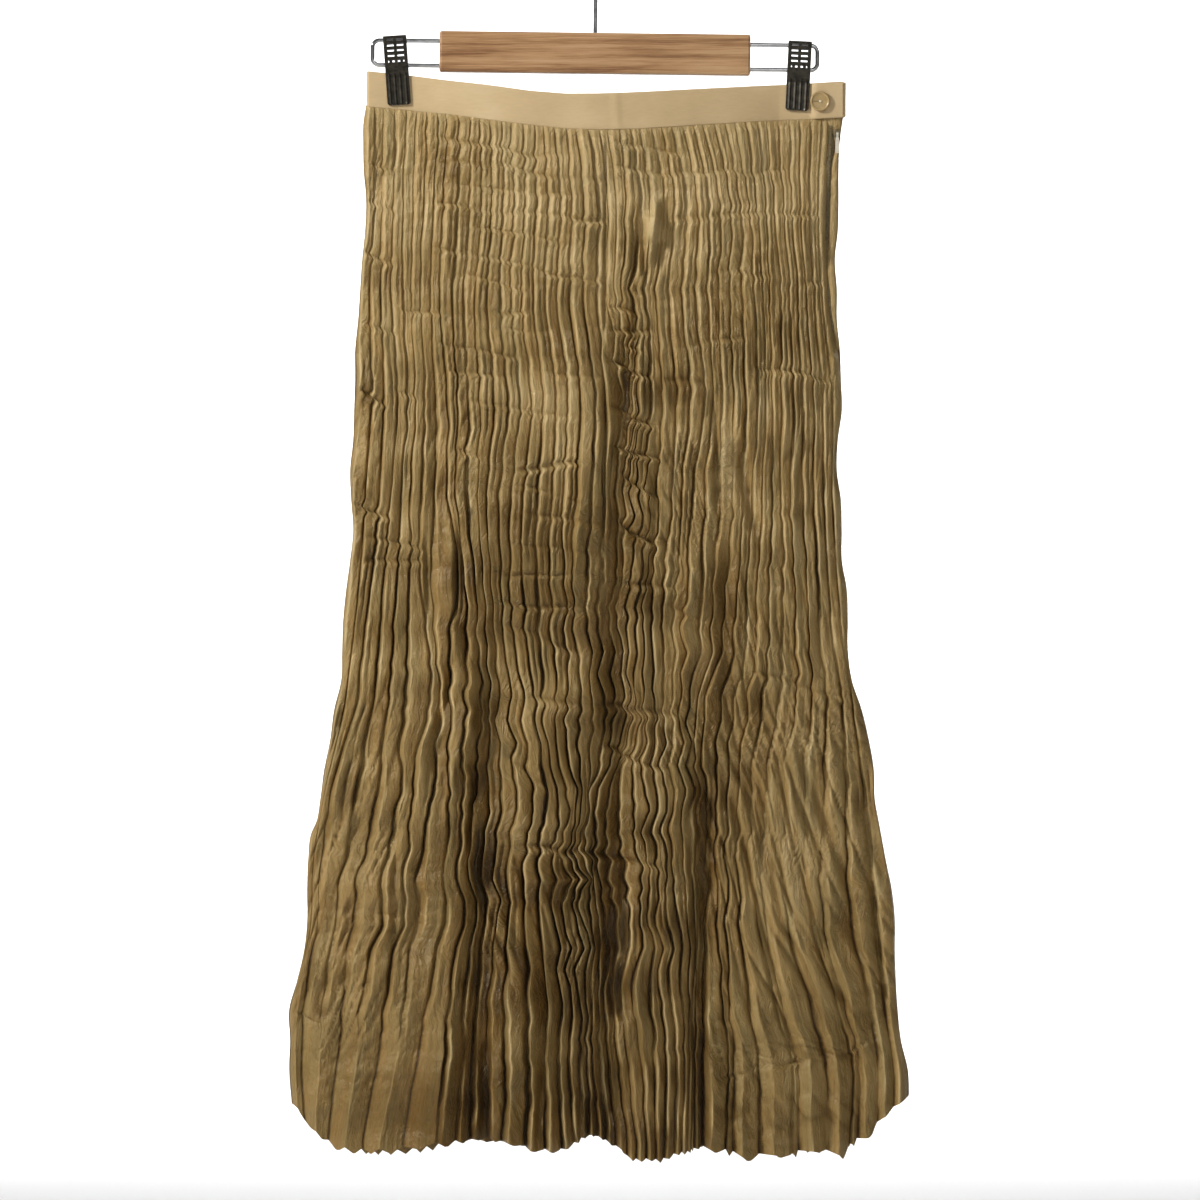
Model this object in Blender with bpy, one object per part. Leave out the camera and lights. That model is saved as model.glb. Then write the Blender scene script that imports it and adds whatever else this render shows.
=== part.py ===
"""A maxi skirt of crinkle-pleated satin, hung by its waistband on a wooden clip hanger.

Metres, +Z up, +X to the right of someone who faces the skirt's front. The front looks along -Y.
The origin is the inner top of the hook's crook, where a rail carries the hanger.
Tables give places in millimetres: "across" is X, and "down" is the drop below the origin.
"""

import math

import bmesh
import bpy
from mathutils import Matrix, Vector

MM = 0.001

# Gaps and walls
CLEARANCE = 0.3 * MM
HALF_SEAM = CLEARANCE / 2
SKIRT_WALL = 2.4 * MM  # measured along Y, so the cloth is 1.2 to 2.3 mm thick on a pleat's slopes
BAND_WALL = 2.0 * MM

# Skirt
PLEATS_PER_PANEL = 40
PLEATS_LEFT_OF_SEAM = 20  # front and back each have a seam down the middle, in a valley
PINCHED_FROM = 137 * MM  # front and back lie flat on each other beyond this, where the clips hold
PINCH_FADES_BY = 0.14  # share of the skirt's length over which the pinched waist opens out
PLEAT_LEAN = 0.16  # how far a ridge leans from the middle of its pleat, as a share of the pleat
MEANDER = 2.0 * MM  # how far a pleat wanders sideways on its way down
FOLD_KEEPS = 0.55  # a broad trough leaves at least this share of the body's depth

# Waistband
BAND_END = 184.5 * MM  # square end of the front layer, over the closing
BAND_LEFT_FOLD = -170.4 * MM
BAND_SEAM = -169.4 * MM  # where the front and back stretches of the band meet, just before the left fold
BAND_RIGHT_FOLD = 185.0 * MM
UNDERLAP_END = 165.6 * MM
OVERLAP_FROM = 160.0 * MM  # the front layer steps out over the underlap between these two
OVERLAP_TO = 165.0 * MM
UNDERLAP_INSET = 1.2 * MM

# Button
BUTTON_RADIUS = 7.4 * MM
BUTTON_THICKNESS = 2.6 * MM
BUTTON_ACROSS = 167.5 * MM
BUTTON_DOWN = 131.6 * MM

# Zip
TAPE_WALL = 1.6 * MM
TAPE_ENDS_AT = 0.25  # share of the side seam's length
SLIDER_ACROSS = 180.4 * MM
SLIDER_DOWN = 156.5 * MM
SLIDER_SIZE = (5.0 * MM, 1.6 * MM, 8.0 * MM)
EAR_THICKNESS = 1.0 * MM
EAR_RADIUS = 1.4 * MM
PIN_RADIUS = 0.5 * MM
PIN_STANDOFF = 1.9 * MM
PULL_EYE_WIDTH = 1.6 * MM
PULL_EYE_RADIUS = 1.6 * MM
PULL_LENGTH = 14.0 * MM
PULL_WIDTH_TOP = 2.4 * MM
PULL_WIDTH_FOOT = 3.2 * MM
PULL_THICKNESS = 0.8 * MM

# Hanger
HANGER_TILT = math.radians(0.7)
BAR_LENGTH = 233 * MM
BAR_HEIGHT = 30.5 * MM
BAR_DEPTH = 13 * MM
BAR_TOP_DOWN = 80.2 * MM
BAR_EDGE = 1.6 * MM
WIRE_RADIUS = 1.6 * MM
UPPER_WIRE_DOWN = 87.5 * MM
LOWER_WIRE_DOWN = 106.0 * MM
ARM_REACH = 168.4 * MM
ARM_CORNER = 5.0 * MM
WIRE_IN_BAR = 22 * MM
WIRE_ROUNDNESS = 2  # eight sides
HOOK_WIRE_RADIUS = 1.5 * MM
CROOK_RADIUS = 20 * MM  # inner
STEM_IN_BAR = 18 * MM
NECK_RADIUS = 7 * MM
CROOK_TIP_ANGLE = math.radians(205)

# Clips
CLIP_WIDTH = 17.4 * MM
CLIP_PLATE = 1.1 * MM
CLIP_RIBS = 4
RIB_PITCH = 4.1 * MM
RIB_HALF_WIDTH = 1.15 * MM
RIB_HEIGHT = 0.7 * MM
SLOT_SIZE = (6.0 * MM, 1.8 * MM)
SLOT_ACROSS = 4.1 * MM
SLOT_DOWNS = (3.0 * MM, 6.9 * MM, 10.8 * MM, 14.7 * MM)
SMALL_HOLE = 1.9 * MM
SMALL_HOLES_DOWN = 18.9 * MM
CHEEK_THICKNESS = 1.0 * MM
CHEEK_INSET = 1.6 * MM
CHEEK_HALF_DEPTH = 2.9 * MM
CHEEK_TOP_DOWN = 0.6 * MM
CHEEK_FOOT_DOWN = 27.0 * MM
SPRING_RADIUS = 2.0 * MM
SPRING_DOWN = 25.4 * MM

# Side seams, from the waist to the hem: down, left edge across, right edge across
SIDE_SEAMS = (
    (136.0, -172.4, 186.0),
    (160.0, -174.2, 184.9),
    (183.0, -174.2, 181.5),
    (216.0, -173.0, 181.5),
    (250.0, -175.1, 178.9),
    (295.0, -178.9, 180.4),
    (340.0, -180.8, 183.8),
    (385.0, -182.3, 181.1),
    (430.0, -183.4, 183.4),
    (475.0, -184.1, 184.1),
    (520.0, -189.8, 188.6),
    (565.0, -191.6, 191.6),
    (610.0, -199.9, 204.4),
    (655.0, -206.6, 209.6),
    (700.0, -215.6, 217.9),
    (745.0, -216.8, 223.9),
    (790.0, -224.6, 224.6),
    (835.0, -229.9, 229.4),
    (870.0, -229.6, 234.6),
    (884.0, -227.6, 234.4),
)

# Waistband: across, top edge down, bottom edge down
WAISTBAND = (
    (-172.5, 108.5, 135.5),
    (-143.6, 111.5, 138.1),
    (-110.6, 116.0, 141.7),
    (-79.9, 119.6, 145.9),
    (-49.9, 124.0, 149.8),
    (-22.9, 126.2, 152.8),
    (2.6, 126.1, 153.7),
    (32.6, 125.0, 152.8),
    (77.6, 122.4, 149.8),
    (122.6, 119.8, 146.8),
    (187.2, 116.4, 143.6),
)

# Hem: across, down
FRONT_HEM = (
    (-227.6, 883.3),
    (-214.1, 897.5),
    (-189.4, 917.0),
    (-150.4, 920.0),
    (-99.4, 908.8),
    (-49.9, 914.0),
    (-23.6, 914.0),
    (-4.9, 904.3),
    (31.1, 923.0),
    (46.9, 923.8),
    (75.4, 911.8),
    (113.6, 920.0),
    (149.6, 919.3),
    (184.1, 918.0),
    (205.1, 904.3),
    (222.4, 884.8),
    (234.4, 874.3),
)
BACK_HEM = (
    (-227.6, 883.3),
    (-189.4, 918.0),
    (-150.4, 921.5),
    (-99.4, 911.0),
    (-49.9, 915.0),
    (0.0, 908.0),
    (45.0, 918.0),
    (85.0, 917.5),
    (150.0, 918.0),
    (184.1, 918.0),
    (205.1, 904.3),
    (234.4, 874.3),
)

# Shares of the skirt's length at which the panels have a row of points
ROW_SHARES = (0.0, 0.04, 0.1, 0.17, 0.25, 0.33, 0.42, 0.5, 0.58, 0.66, 0.74, 0.83, 0.92, 1.0)

# Body: share of the length, depth of the hollow's half at its middle
BODY_DEPTH = (
    (0.0, 11.0),
    (0.1, 11.5),
    (0.3, 13.0),
    (0.5, 15.0),
    (0.75, 19.0),
    (1.0, 24.0),
)

# Pleats: share of the length, depth of a pleat as a share of its width
PLEAT_DEPTH = (
    (0.0, 0.24),
    (0.06, 0.40),
    (0.3, 0.48),
    (0.6, 0.60),
    (0.8, 0.70),
    (1.0, 0.80),
)

# Where pleats crowd: share across, share of the width they crowd from, pull, from share down, full by
FRONT_CROWDS = (
    (0.56, 0.10, 0.030, 0.10, 0.60),
    (0.31, 0.07, 0.022, 0.45, 0.75),
    (0.82, 0.10, -0.022, 0.50, 0.90),
)
BACK_CROWDS = (
    (0.44, 0.10, 0.028, 0.15, 0.60),
    (0.72, 0.07, 0.022, 0.50, 0.80),
)

# Broad folds: first share down, across there, last share down, across there, half width, depth
FRONT_FOLDS = (
    (0.22, -122.0, 0.47, -114.0, 8.0, 4.5),
    (0.46, -76.0, 1.15, -96.0, 13.0, 8.0),
    (0.12, 24.0, 1.20, 4.0, 14.0, 7.0),
    (0.58, 80.0, 1.15, 77.0, 7.0, 8.0),
    (0.70, 185.0, 1.15, 196.0, 16.0, 3.5),
    (0.55, -38.0, 1.15, -32.0, 16.0, -3.0),
    (0.50, 52.0, 1.15, 46.0, 14.0, -3.0),
)
BACK_FOLDS = (
    (0.40, -70.0, 1.15, -84.0, 13.0, 8.0),
    (0.15, -14.0, 1.15, -2.0, 12.0, 5.0),
    (0.50, 78.0, 1.15, 92.0, 13.0, 8.0),
    (0.45, 30.0, 1.15, 40.0, 15.0, -3.0),
)

# Front panel's edge at the zip: share of the side seam's length, distance from the seam line
ZIP_INSET = (
    (0.0, 9.0),
    (0.14, 8.0),
    (0.24, 3.6),
    (0.31, 0.0),
)

# Clips: name, top across, top down, foot across, foot down
CLIPS = (
    ("left", -151.5, 82.3, -147.8, 134.2),
    ("right", 152.8, 86.4, 150.2, 138.2),
)

# Clip plate seen from its side: down from the plate's top, inner face's distance from the middle
CLIP_PROFILE = (
    (0.0, 4.4),
    (4.0, 3.2),
    (27.8, 3.2),
    (29.0, 2.9),
    (31.0, 2.45),
    (50.5, 2.45),
    (52.0, 2.9),
)


def clear_scene():
    """Remove the objects of the open file."""
    for thing in list(bpy.data.objects):
        bpy.data.objects.remove(thing, do_unlink=True)


def material(name, colour, roughness, metallic=0.0):
    """A plain surface with the part's colour."""
    made = bpy.data.materials.new(name)
    made.use_nodes = True
    shader = made.node_tree.nodes["Principled BSDF"]
    shader.inputs["Base Color"].default_value = (*colour, 1.0)
    shader.inputs["Roughness"].default_value = roughness
    shader.inputs["Metallic"].default_value = metallic
    return made


def interpolate(table, place, column=1):
    """A column's value in millimetres or shares, read from a table at a place in its first column."""
    if place <= table[0][0]:
        return table[0][column]
    for low, high in zip(table, table[1:]):
        if place <= high[0]:
            share = (place - low[0]) / (high[0] - low[0])
            return low[column] + share * (high[column] - low[column])
    return table[-1][column]


def smooth_step(value):
    """0 below 0, 1 above 1, and a soft rise between."""
    held = min(max(value, 0.0), 1.0)
    return held * held * (3 - 2 * held)


def add_object(name, mesh, surface, smooth_angle=None):
    """A named object from a bmesh, with one material and its faces pointing out."""
    bmesh.ops.recalc_face_normals(mesh, faces=mesh.faces)
    data = bpy.data.meshes.new(name)
    mesh.to_mesh(data)
    mesh.free()
    data.materials.append(surface)
    if smooth_angle is not None:
        data.shade_smooth()
        data.set_sharp_from_angle(angle=math.radians(smooth_angle))
    made = bpy.data.objects.new(name, data)
    bpy.context.scene.collection.objects.link(made)
    return made


def make_guide(cutter):
    """Keep an object as a cutter only."""
    cutter.hide_render = True
    cutter.display_type = "WIRE"


def apply_boolean(target, tool, operation, name):
    """Cut or join with another object, which becomes a guide."""
    step = target.modifiers.new(name, "BOOLEAN")
    step.operation = operation
    step.object = tool
    make_guide(tool)


def add_box(mesh, centre, size):
    """A box in a bmesh, by its centre and its three sizes."""
    place = Matrix.Translation(centre) @ Matrix.Diagonal((*size, 1.0))
    bmesh.ops.create_cube(mesh, size=1.0, matrix=place)


def add_cylinder_along_x(mesh, centre, radius, length, sides=12):
    """A round bar along X in a bmesh."""
    place = Matrix.Translation(centre) @ Matrix.Rotation(math.pi / 2, 4, "Y")
    bmesh.ops.create_cone(
        mesh, cap_ends=True, segments=sides, radius1=radius, radius2=radius, depth=length, matrix=place
    )


def wall_mesh(outer, inner):
    """A closed wall between two grids of points that face each other, split alike into triangles."""
    rows = len(outer)
    columns = len(outer[0])
    mesh = bmesh.new()
    faces_of = [[[mesh.verts.new(point) for point in row] for row in grid] for grid in (outer, inner)]
    for side in faces_of:
        for row in range(rows - 1):
            for column in range(columns - 1):
                here = side[row][column]
                opposite = side[row + 1][column + 1]
                mesh.faces.new((here, side[row + 1][column], opposite))
                mesh.faces.new((here, opposite, side[row][column + 1]))
    border = [(0, column) for column in range(columns)]
    border += [(row, columns - 1) for row in range(1, rows)]
    border += [(rows - 1, column) for column in range(columns - 2, -1, -1)]
    border += [(row, 0) for row in range(rows - 2, 0, -1)]
    front, back = faces_of
    for (row, column), (next_row, next_column) in zip(border, border[1:] + border[:1]):
        mesh.faces.new((
            front[row][column],
            front[next_row][next_column],
            back[next_row][next_column],
            back[row][column],
        ))
    return mesh


def wire_object(name, points, radius, surface):
    """A round wire along a list of points, with closed ends."""
    curve = bpy.data.curves.new(name, "CURVE")
    curve.dimensions = "3D"
    curve.bevel_depth = radius
    curve.bevel_resolution = WIRE_ROUNDNESS
    curve.use_fill_caps = True
    spline = curve.splines.new("POLY")
    spline.points.add(len(points) - 1)
    for knot, point in zip(spline.points, points):
        knot.co = (*point, 1.0)
    curve.materials.append(surface)
    made = bpy.data.objects.new(name, curve)
    bpy.context.scene.collection.objects.link(made)
    return made


def arc(centre, radius, start, end, steps):
    """Points on an arc in the XZ plane, both ends included."""
    angles = [start + (end - start) * step / steps for step in range(steps + 1)]
    return [
        Vector((centre[0] + radius * math.cos(angle), 0.0, centre[1] + radius * math.sin(angle)))
        for angle in angles
    ]


def pinched_depth(across):
    """Depth of the waist's hollow at a place across it, as a share of its depth at the middle."""
    return max(0.0, 1.0 - (across / PINCHED_FROM) ** 2)


def body_depth(across, share_down, left, right):
    """Distance from the plane of the side seams out to a panel's inner face, without its folds."""
    full = interpolate(BODY_DEPTH, share_down) * MM
    off_middle = (across - (left + right) / 2) / ((right - left) / 2)
    rounded = max(0.0, 1.0 - off_middle * off_middle) ** 0.7
    opened = smooth_step(share_down / PINCH_FADES_BY)
    return full * (pinched_depth(across) * (1 - opened) + rounded * opened)


def fold_depth(folds, across, share_down):
    """How far the broad folds press a panel in, or push it out where it is negative."""
    total = 0.0
    for first, start, last, end, half_width, depth in folds:
        along = (share_down - first) / (last - first)
        if 0.0 < along < 1.0:
            middle = (start + (end - start) * along) * MM
            strength = smooth_step(along / 0.2) * smooth_step((1 - along) / 0.2)
            total += depth * MM * strength * math.exp(-((across - middle) / (half_width * MM)) ** 2)
    return total


def crowded_share(crowds, share_across, share_down):
    """A pleat's place across its panel, as a share of the width, drawn towards the crowded folds."""
    moved = share_across
    for centre, reach, pull, first, full_by in crowds:
        offset = (share_across - centre) / reach
        strength = smooth_step((share_down - first) / (full_by - first))
        moved -= pull * strength * offset * math.exp(0.5 - offset * offset / 2)
    return moved


def pleat_columns():
    """Share across, and 1 on a ridge or 0 in a valley, of each column of a panel's points."""
    columns = [(0.0, 0.0)]
    for pleat in range(PLEATS_PER_PANEL):
        lean = PLEAT_LEAN * math.sin(2.1 * pleat) * math.cos(0.37 * pleat)
        columns.append(((pleat + 0.5 + lean) / PLEATS_PER_PANEL, 1.0))
        columns.append(((pleat + 1) / PLEATS_PER_PANEL, 0.0))
    return columns


def seam_across(share_down, column):
    """Place of a side seam at a share of its own length: column 1 is the left one, 2 the right one."""
    top = SIDE_SEAMS[0][0]
    foot = SIDE_SEAMS[-1][0]
    return interpolate(SIDE_SEAMS, top + (foot - top) * share_down, column) * MM


def panel_points(hem, folds, crowds, inset, side):
    """Outer and inner grids of a panel: side is -1 for the front and 1 for the back."""
    columns = pleat_columns()
    lefts = [seam_across(share, 1) for share in ROW_SHARES]
    rights = [seam_across(share, 2) - interpolate(inset, share) * MM for share in ROW_SHARES]
    outer = []
    inner = []
    for row, share_down in enumerate(ROW_SHARES):
        width = rights[row] - lefts[row]
        depth_share = interpolate(PLEAT_DEPTH, share_down)
        outer_row = []
        inner_row = []
        for share_across, ridge in columns:
            sway = math.sin(7.0 * share_down + 5.0 * share_across) + 0.5 * math.sin(17.0 * share_down)
            sway *= MEANDER * math.sin(math.pi * share_across) * math.sin(math.pi * share_down)
            placed = crowded_share(crowds, share_across, share_down)
            across = lefts[row] + width * placed + sway
            top = interpolate(WAISTBAND, (lefts[0] + (rights[0] - lefts[0]) * share_across) / MM, 2) * MM
            last = lefts[-1] + (rights[-1] - lefts[-1]) * crowded_share(crowds, share_across, 1.0)
            foot = interpolate(hem, last / MM) * MM
            drop = top + CLEARANCE + (foot - top - CLEARANCE) * share_down
            body = body_depth(across, share_down, lefts[row], rights[row])
            pressed = min(fold_depth(folds, across, share_down), body * (1 - FOLD_KEEPS))
            pitch = width / PLEATS_PER_PANEL
            step = 0.5 / PLEATS_PER_PANEL
            spread = crowded_share(crowds, share_across + step, share_down)
            spread -= crowded_share(crowds, share_across - step, share_down)
            pleat = ridge * depth_share * pitch * spread * PLEATS_PER_PANEL
            inner_depth = HALF_SEAM + body - pressed + pleat
            inner_row.append(Vector((across, side * inner_depth, -drop)))
            outer_row.append(Vector((across, side * (inner_depth + SKIRT_WALL), -drop)))
        outer.append(outer_row)
        inner.append(inner_row)
    return outer, inner


def half_of_panel(grid, direction):
    """A grid's points left (-1) or right (1) of the middle seam, with the edge there set back from it."""
    seam = 2 * PLEATS_LEFT_OF_SEAM
    half = []
    for row in grid:
        edge = row[seam] + Vector((direction * HALF_SEAM, 0, 0))
        half.append(row[:seam] + [edge] if direction < 0 else [edge] + row[seam + 1:])
    return half


def build_skirt(satin):
    """The panels, sewn at the middles, the sides and the waistband. Gives the front's edge at the zip."""
    no_inset = ((0.0, 0.0), (1.0, 0.0))
    front = panel_points(FRONT_HEM, FRONT_FOLDS, FRONT_CROWDS, ZIP_INSET, -1)
    back = panel_points(BACK_HEM, BACK_FOLDS, BACK_CROWDS, no_inset, 1)
    for name, grids in (("front", front), ("back", back)):
        for side, direction in (("left", -1), ("right", 1)):
            outer, inner = (half_of_panel(grid, direction) for grid in grids)
            add_object(f"skirt_{name}_{side}", wall_mesh(outer, inner), satin)
    return [row[-1] for row in front[1]]


def band_layer(across, side, lift=0.0):
    """A point on the middle of a waistband layer, seen from above."""
    depth = HALF_SEAM + BAND_WALL / 2 + pinched_depth(across) * BODY_DEPTH[0][1] * MM
    return Vector((across, side * (depth + lift)))


def bowed_stations():
    """Places across the waistband, from the right to the left, where it bows out round the waist."""
    steps = 20
    return [PINCHED_FROM * (1 - 2 * step / steps) for step in range(steps + 1)]


def front_band_path():
    """The front stretch's middle line from above, from the overlap's square end to the left side seam."""
    layer_lift = BAND_WALL + CLEARANCE
    overlap = [OVERLAP_TO, (OVERLAP_FROM + OVERLAP_TO) / 2, OVERLAP_FROM]
    path = []
    for across in [BAND_END] + overlap + bowed_stations() + [BAND_SEAM + CLEARANCE]:
        lift = layer_lift * smooth_step((across - OVERLAP_FROM) / (OVERLAP_TO - OVERLAP_FROM))
        path.append((band_layer(across, -1, lift), 0.0))
    return path


def back_band_path():
    """The back stretch's middle line: round the left side, the back, round the right side, underlap.

    Each point comes with the inset of the top and bottom edges there.
    """
    wall_to_wall = HALF_SEAM + BAND_WALL / 2
    path = [(band_layer(across, -1), 0.0) for across in (BAND_SEAM, BAND_LEFT_FOLD)]
    for step in range(1, 6):
        angle = -math.pi / 2 - math.pi * step / 6
        turn = Vector((math.cos(angle), math.sin(angle))) * wall_to_wall
        path.append((Vector((BAND_LEFT_FOLD, 0.0)) + turn, 0.0))
    for across in [BAND_LEFT_FOLD] + bowed_stations()[::-1] + [BAND_RIGHT_FOLD]:
        path.append((band_layer(across, 1), 0.0))
    for step in range(1, 6):
        angle = math.pi / 2 - math.pi * step / 6
        turn = Vector((math.cos(angle), math.sin(angle))) * wall_to_wall
        path.append((Vector((BAND_RIGHT_FOLD, 0.0)) + turn, UNDERLAP_INSET * step / 6))
    for across in (BAND_RIGHT_FOLD, (BAND_RIGHT_FOLD + UNDERLAP_END) / 2, UNDERLAP_END):
        path.append((band_layer(across, -1), UNDERLAP_INSET))
    return path


def build_band_stretch(name, path, cotton):
    """One stretch of the waistband, a strip on edge along its path."""
    rings = []
    for place, (middle, inset) in enumerate(path):
        before = path[max(place - 1, 0)][0]
        after = path[min(place + 1, len(path) - 1)][0]
        along = (after - before).normalized()
        aside = Vector((-along.y, along.x)) * BAND_WALL / 2
        top = interpolate(WAISTBAND, middle.x / MM, 1) * MM + inset
        bottom = interpolate(WAISTBAND, middle.x / MM, 2) * MM - inset
        ring = []
        for flat, drop in (
            (middle + aside, top),
            (middle + aside, bottom),
            (middle - aside, bottom),
            (middle - aside, top),
        ):
            ring.append(Vector((flat.x, flat.y, -drop)))
        rings.append(ring)
    mesh = bmesh.new()
    corners = [[mesh.verts.new(point) for point in ring] for ring in rings]
    for ring, following in zip(corners, corners[1:]):
        for corner in range(4):
            across = (corner + 1) % 4
            mesh.faces.new((ring[corner], ring[across], following[across], following[corner]))
    mesh.faces.new(corners[0])
    mesh.faces.new(reversed(corners[-1]))
    add_object(name, mesh, cotton)


def build_button(resin):
    """A turned button with a raised rim, flat on the waistband's overlap."""
    thickness = BUTTON_THICKNESS
    # share of the radius, share of the thickness
    profile = (
        (0.0, 0.0),
        (0.86, 0.0),
        (1.0, 0.35),
        (1.0, 0.70),
        (0.92, 1.0),
        (0.78, 0.95),
        (0.66, 0.62),
        (0.0, 0.62),
    )
    mesh = bmesh.new()
    knots = [mesh.verts.new((BUTTON_RADIUS * out, 0.0, thickness * up)) for out, up in profile]
    edges = [mesh.edges.new(pair) for pair in zip(knots, knots[1:])]
    bmesh.ops.spin(
        mesh, geom=knots + edges, cent=(0, 0, 0), axis=(0, 0, 1), angle=2 * math.pi, steps=20, use_merge=True
    )
    bmesh.ops.remove_doubles(mesh, verts=mesh.verts, dist=0.01 * MM)
    button = add_object("button", mesh, resin, smooth_angle=30)
    seat = HALF_SEAM + 2 * BAND_WALL + 2 * CLEARANCE
    button.location = (BUTTON_ACROSS, -seat, -BUTTON_DOWN)
    button.rotation_euler = (math.pi / 2, 0.0, 0.0)


def build_zip_tape(tape_cloth, panel_edge):
    """The strip of zip tape that shows between the front panel's edge and the side seam."""
    outer = []
    inner = []
    for share, edge in zip(ROW_SHARES, panel_edge):
        if share <= TAPE_ENDS_AT:
            ends = (edge.x + CLEARANCE, seam_across(share, 2) - 2 * CLEARANCE)
            inner.append([Vector((across, -HALF_SEAM, edge.z)) for across in ends])
            outer.append([Vector((across, -HALF_SEAM - TAPE_WALL, edge.z)) for across in ends])
    add_object("zip_tape", wall_mesh(outer, inner), tape_cloth)


def build_zip_slider(enamel):
    """The slider's body with two ears and the pin that its pull tab hangs on."""
    width, thickness, height = SLIDER_SIZE
    ear_inner = PULL_EYE_WIDTH / 2 + CLEARANCE
    ear_middle = ear_inner + EAR_THICKNESS / 2
    body = bmesh.new()
    add_box(body, Vector((0, PIN_STANDOFF + thickness / 2, 0)), (width, thickness, height))
    slider = add_object("zip_slider", body, enamel)
    soften = slider.modifiers.new("Rounded corners", "BEVEL")
    soften.width = 0.5 * MM
    soften.segments = 2
    for name, direction in (("left", -1), ("right", 1)):
        ear = bmesh.new()
        ear_place = Vector((direction * ear_middle, 0, 0))
        add_cylinder_along_x(ear, ear_place, EAR_RADIUS, EAR_THICKNESS)
        ear_guide = add_object(f"guide_ear_{name}", ear, enamel)
        foot = bmesh.new()
        foot_depth = PIN_STANDOFF + thickness / 2
        foot_size = (EAR_THICKNESS, foot_depth, 1.7 * EAR_RADIUS)
        add_box(foot, Vector((direction * ear_middle, foot_depth / 2, 0)), foot_size)
        foot_guide = add_object(f"guide_ear_foot_{name}", foot, enamel)
        apply_boolean(slider, foot_guide, "UNION", f"Ear foot {name}")
        apply_boolean(slider, ear_guide, "UNION", f"Ear {name}")
        ear_guide.parent = slider
        foot_guide.parent = slider
    pin = bmesh.new()
    add_cylinder_along_x(pin, Vector((0, 0, 0)), PIN_RADIUS, 2 * ear_inner + EAR_THICKNESS, sides=8)
    pin_guide = add_object("guide_pin", pin, enamel)
    pin_guide.parent = slider
    apply_boolean(slider, pin_guide, "UNION", "Pin")
    slider.location = pin_place()


def pin_place():
    """Where the pull tab's hinge is: its axis runs along X through this point."""
    stand = HALF_SEAM + TAPE_WALL + CLEARANCE + SLIDER_SIZE[1] + PIN_STANDOFF
    return Vector((SLIDER_ACROSS, -stand, -SLIDER_DOWN))


def build_zip_pull(enamel):
    """The slider's pull tab: an eye round the pin, and a narrow blade that hangs from it."""
    sides = 12
    eye_hole = PIN_RADIUS + CLEARANCE
    mesh = bmesh.new()
    loops = []
    for across in (-PULL_EYE_WIDTH / 2, PULL_EYE_WIDTH / 2):
        for radius in (PULL_EYE_RADIUS, eye_hole):
            loop = []
            for step in range(sides):
                angle = 2 * math.pi * step / sides
                loop.append(mesh.verts.new((across, radius * math.cos(angle), radius * math.sin(angle))))
            loops.append(loop)
    for one, other in ((0, 1), (1, 3), (3, 2), (2, 0)):
        for step in range(sides):
            after = (step + 1) % sides
            mesh.faces.new((loops[one][step], loops[one][after], loops[other][after], loops[other][step]))
    pull = add_object("zip_pull", mesh, enamel)

    neck_top = -(eye_hole + PULL_EYE_RADIUS) / 2
    shoulder = -PULL_EYE_RADIUS - 0.9 * MM
    # drop below the pin, half width
    outline = (
        (neck_top, PULL_EYE_WIDTH / 2),
        (shoulder + 0.3 * MM, PULL_EYE_WIDTH / 2),
        (shoulder, PULL_WIDTH_TOP / 2),
        (-PULL_LENGTH + 1.0 * MM, PULL_WIDTH_FOOT / 2),
        (-PULL_LENGTH, PULL_WIDTH_FOOT / 3),
    )
    faces = []
    for depth in (-PULL_THICKNESS / 2, PULL_THICKNESS / 2):
        faces.append([[Vector((sign * half, depth, drop)) for sign in (-1, 1)] for drop, half in outline])
    blade_guide = add_object("guide_blade", wall_mesh(*faces), enamel)
    blade_guide.parent = pull
    apply_boolean(pull, blade_guide, "UNION", "Blade")
    pull.location = pin_place()


def hanger_group():
    """The empty that tilts the bar, the arms and the hook about the hook's crook."""
    group = bpy.data.objects.new("hanger", None)
    group.rotation_euler = (0.0, HANGER_TILT, 0.0)
    bpy.context.scene.collection.objects.link(group)
    return group


def build_bar(wood, group):
    """The wooden bar, bored for the hook's stem and the four wire ends."""
    mesh = bmesh.new()
    middle_down = BAR_TOP_DOWN + BAR_HEIGHT / 2
    add_box(mesh, Vector((0, 0, -middle_down)), (BAR_LENGTH, BAR_DEPTH, BAR_HEIGHT))
    bar = add_object("hanger_bar", mesh, wood)
    soften = bar.modifiers.new("Rounded edges", "BEVEL")
    soften.width = BAR_EDGE
    soften.segments = 2

    bores = bmesh.new()
    depth = WIRE_IN_BAR + CLEARANCE
    for side in (-1, 1):
        for down in (UPPER_WIRE_DOWN, LOWER_WIRE_DOWN):
            place = Vector((side * (BAR_LENGTH / 2 - depth / 2 + 1 * MM), 0, -down))
            add_cylinder_along_x(bores, place, WIRE_RADIUS + CLEARANCE, depth + 2 * MM)
    stem_depth = STEM_IN_BAR + CLEARANCE
    stem_place = Matrix.Translation((0, 0, -BAR_TOP_DOWN - stem_depth / 2 + 1 * MM))
    stem_bore = HOOK_WIRE_RADIUS + CLEARANCE
    bmesh.ops.create_cone(
        bores, cap_ends=True, segments=12, radius1=stem_bore, radius2=stem_bore,
        depth=stem_depth + 2 * MM, matrix=stem_place,
    )
    bore_guide = add_object("guide_bores", bores, wood)
    apply_boolean(bar, bore_guide, "DIFFERENCE", "Bores")
    bar.parent = group
    bore_guide.parent = group


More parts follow.
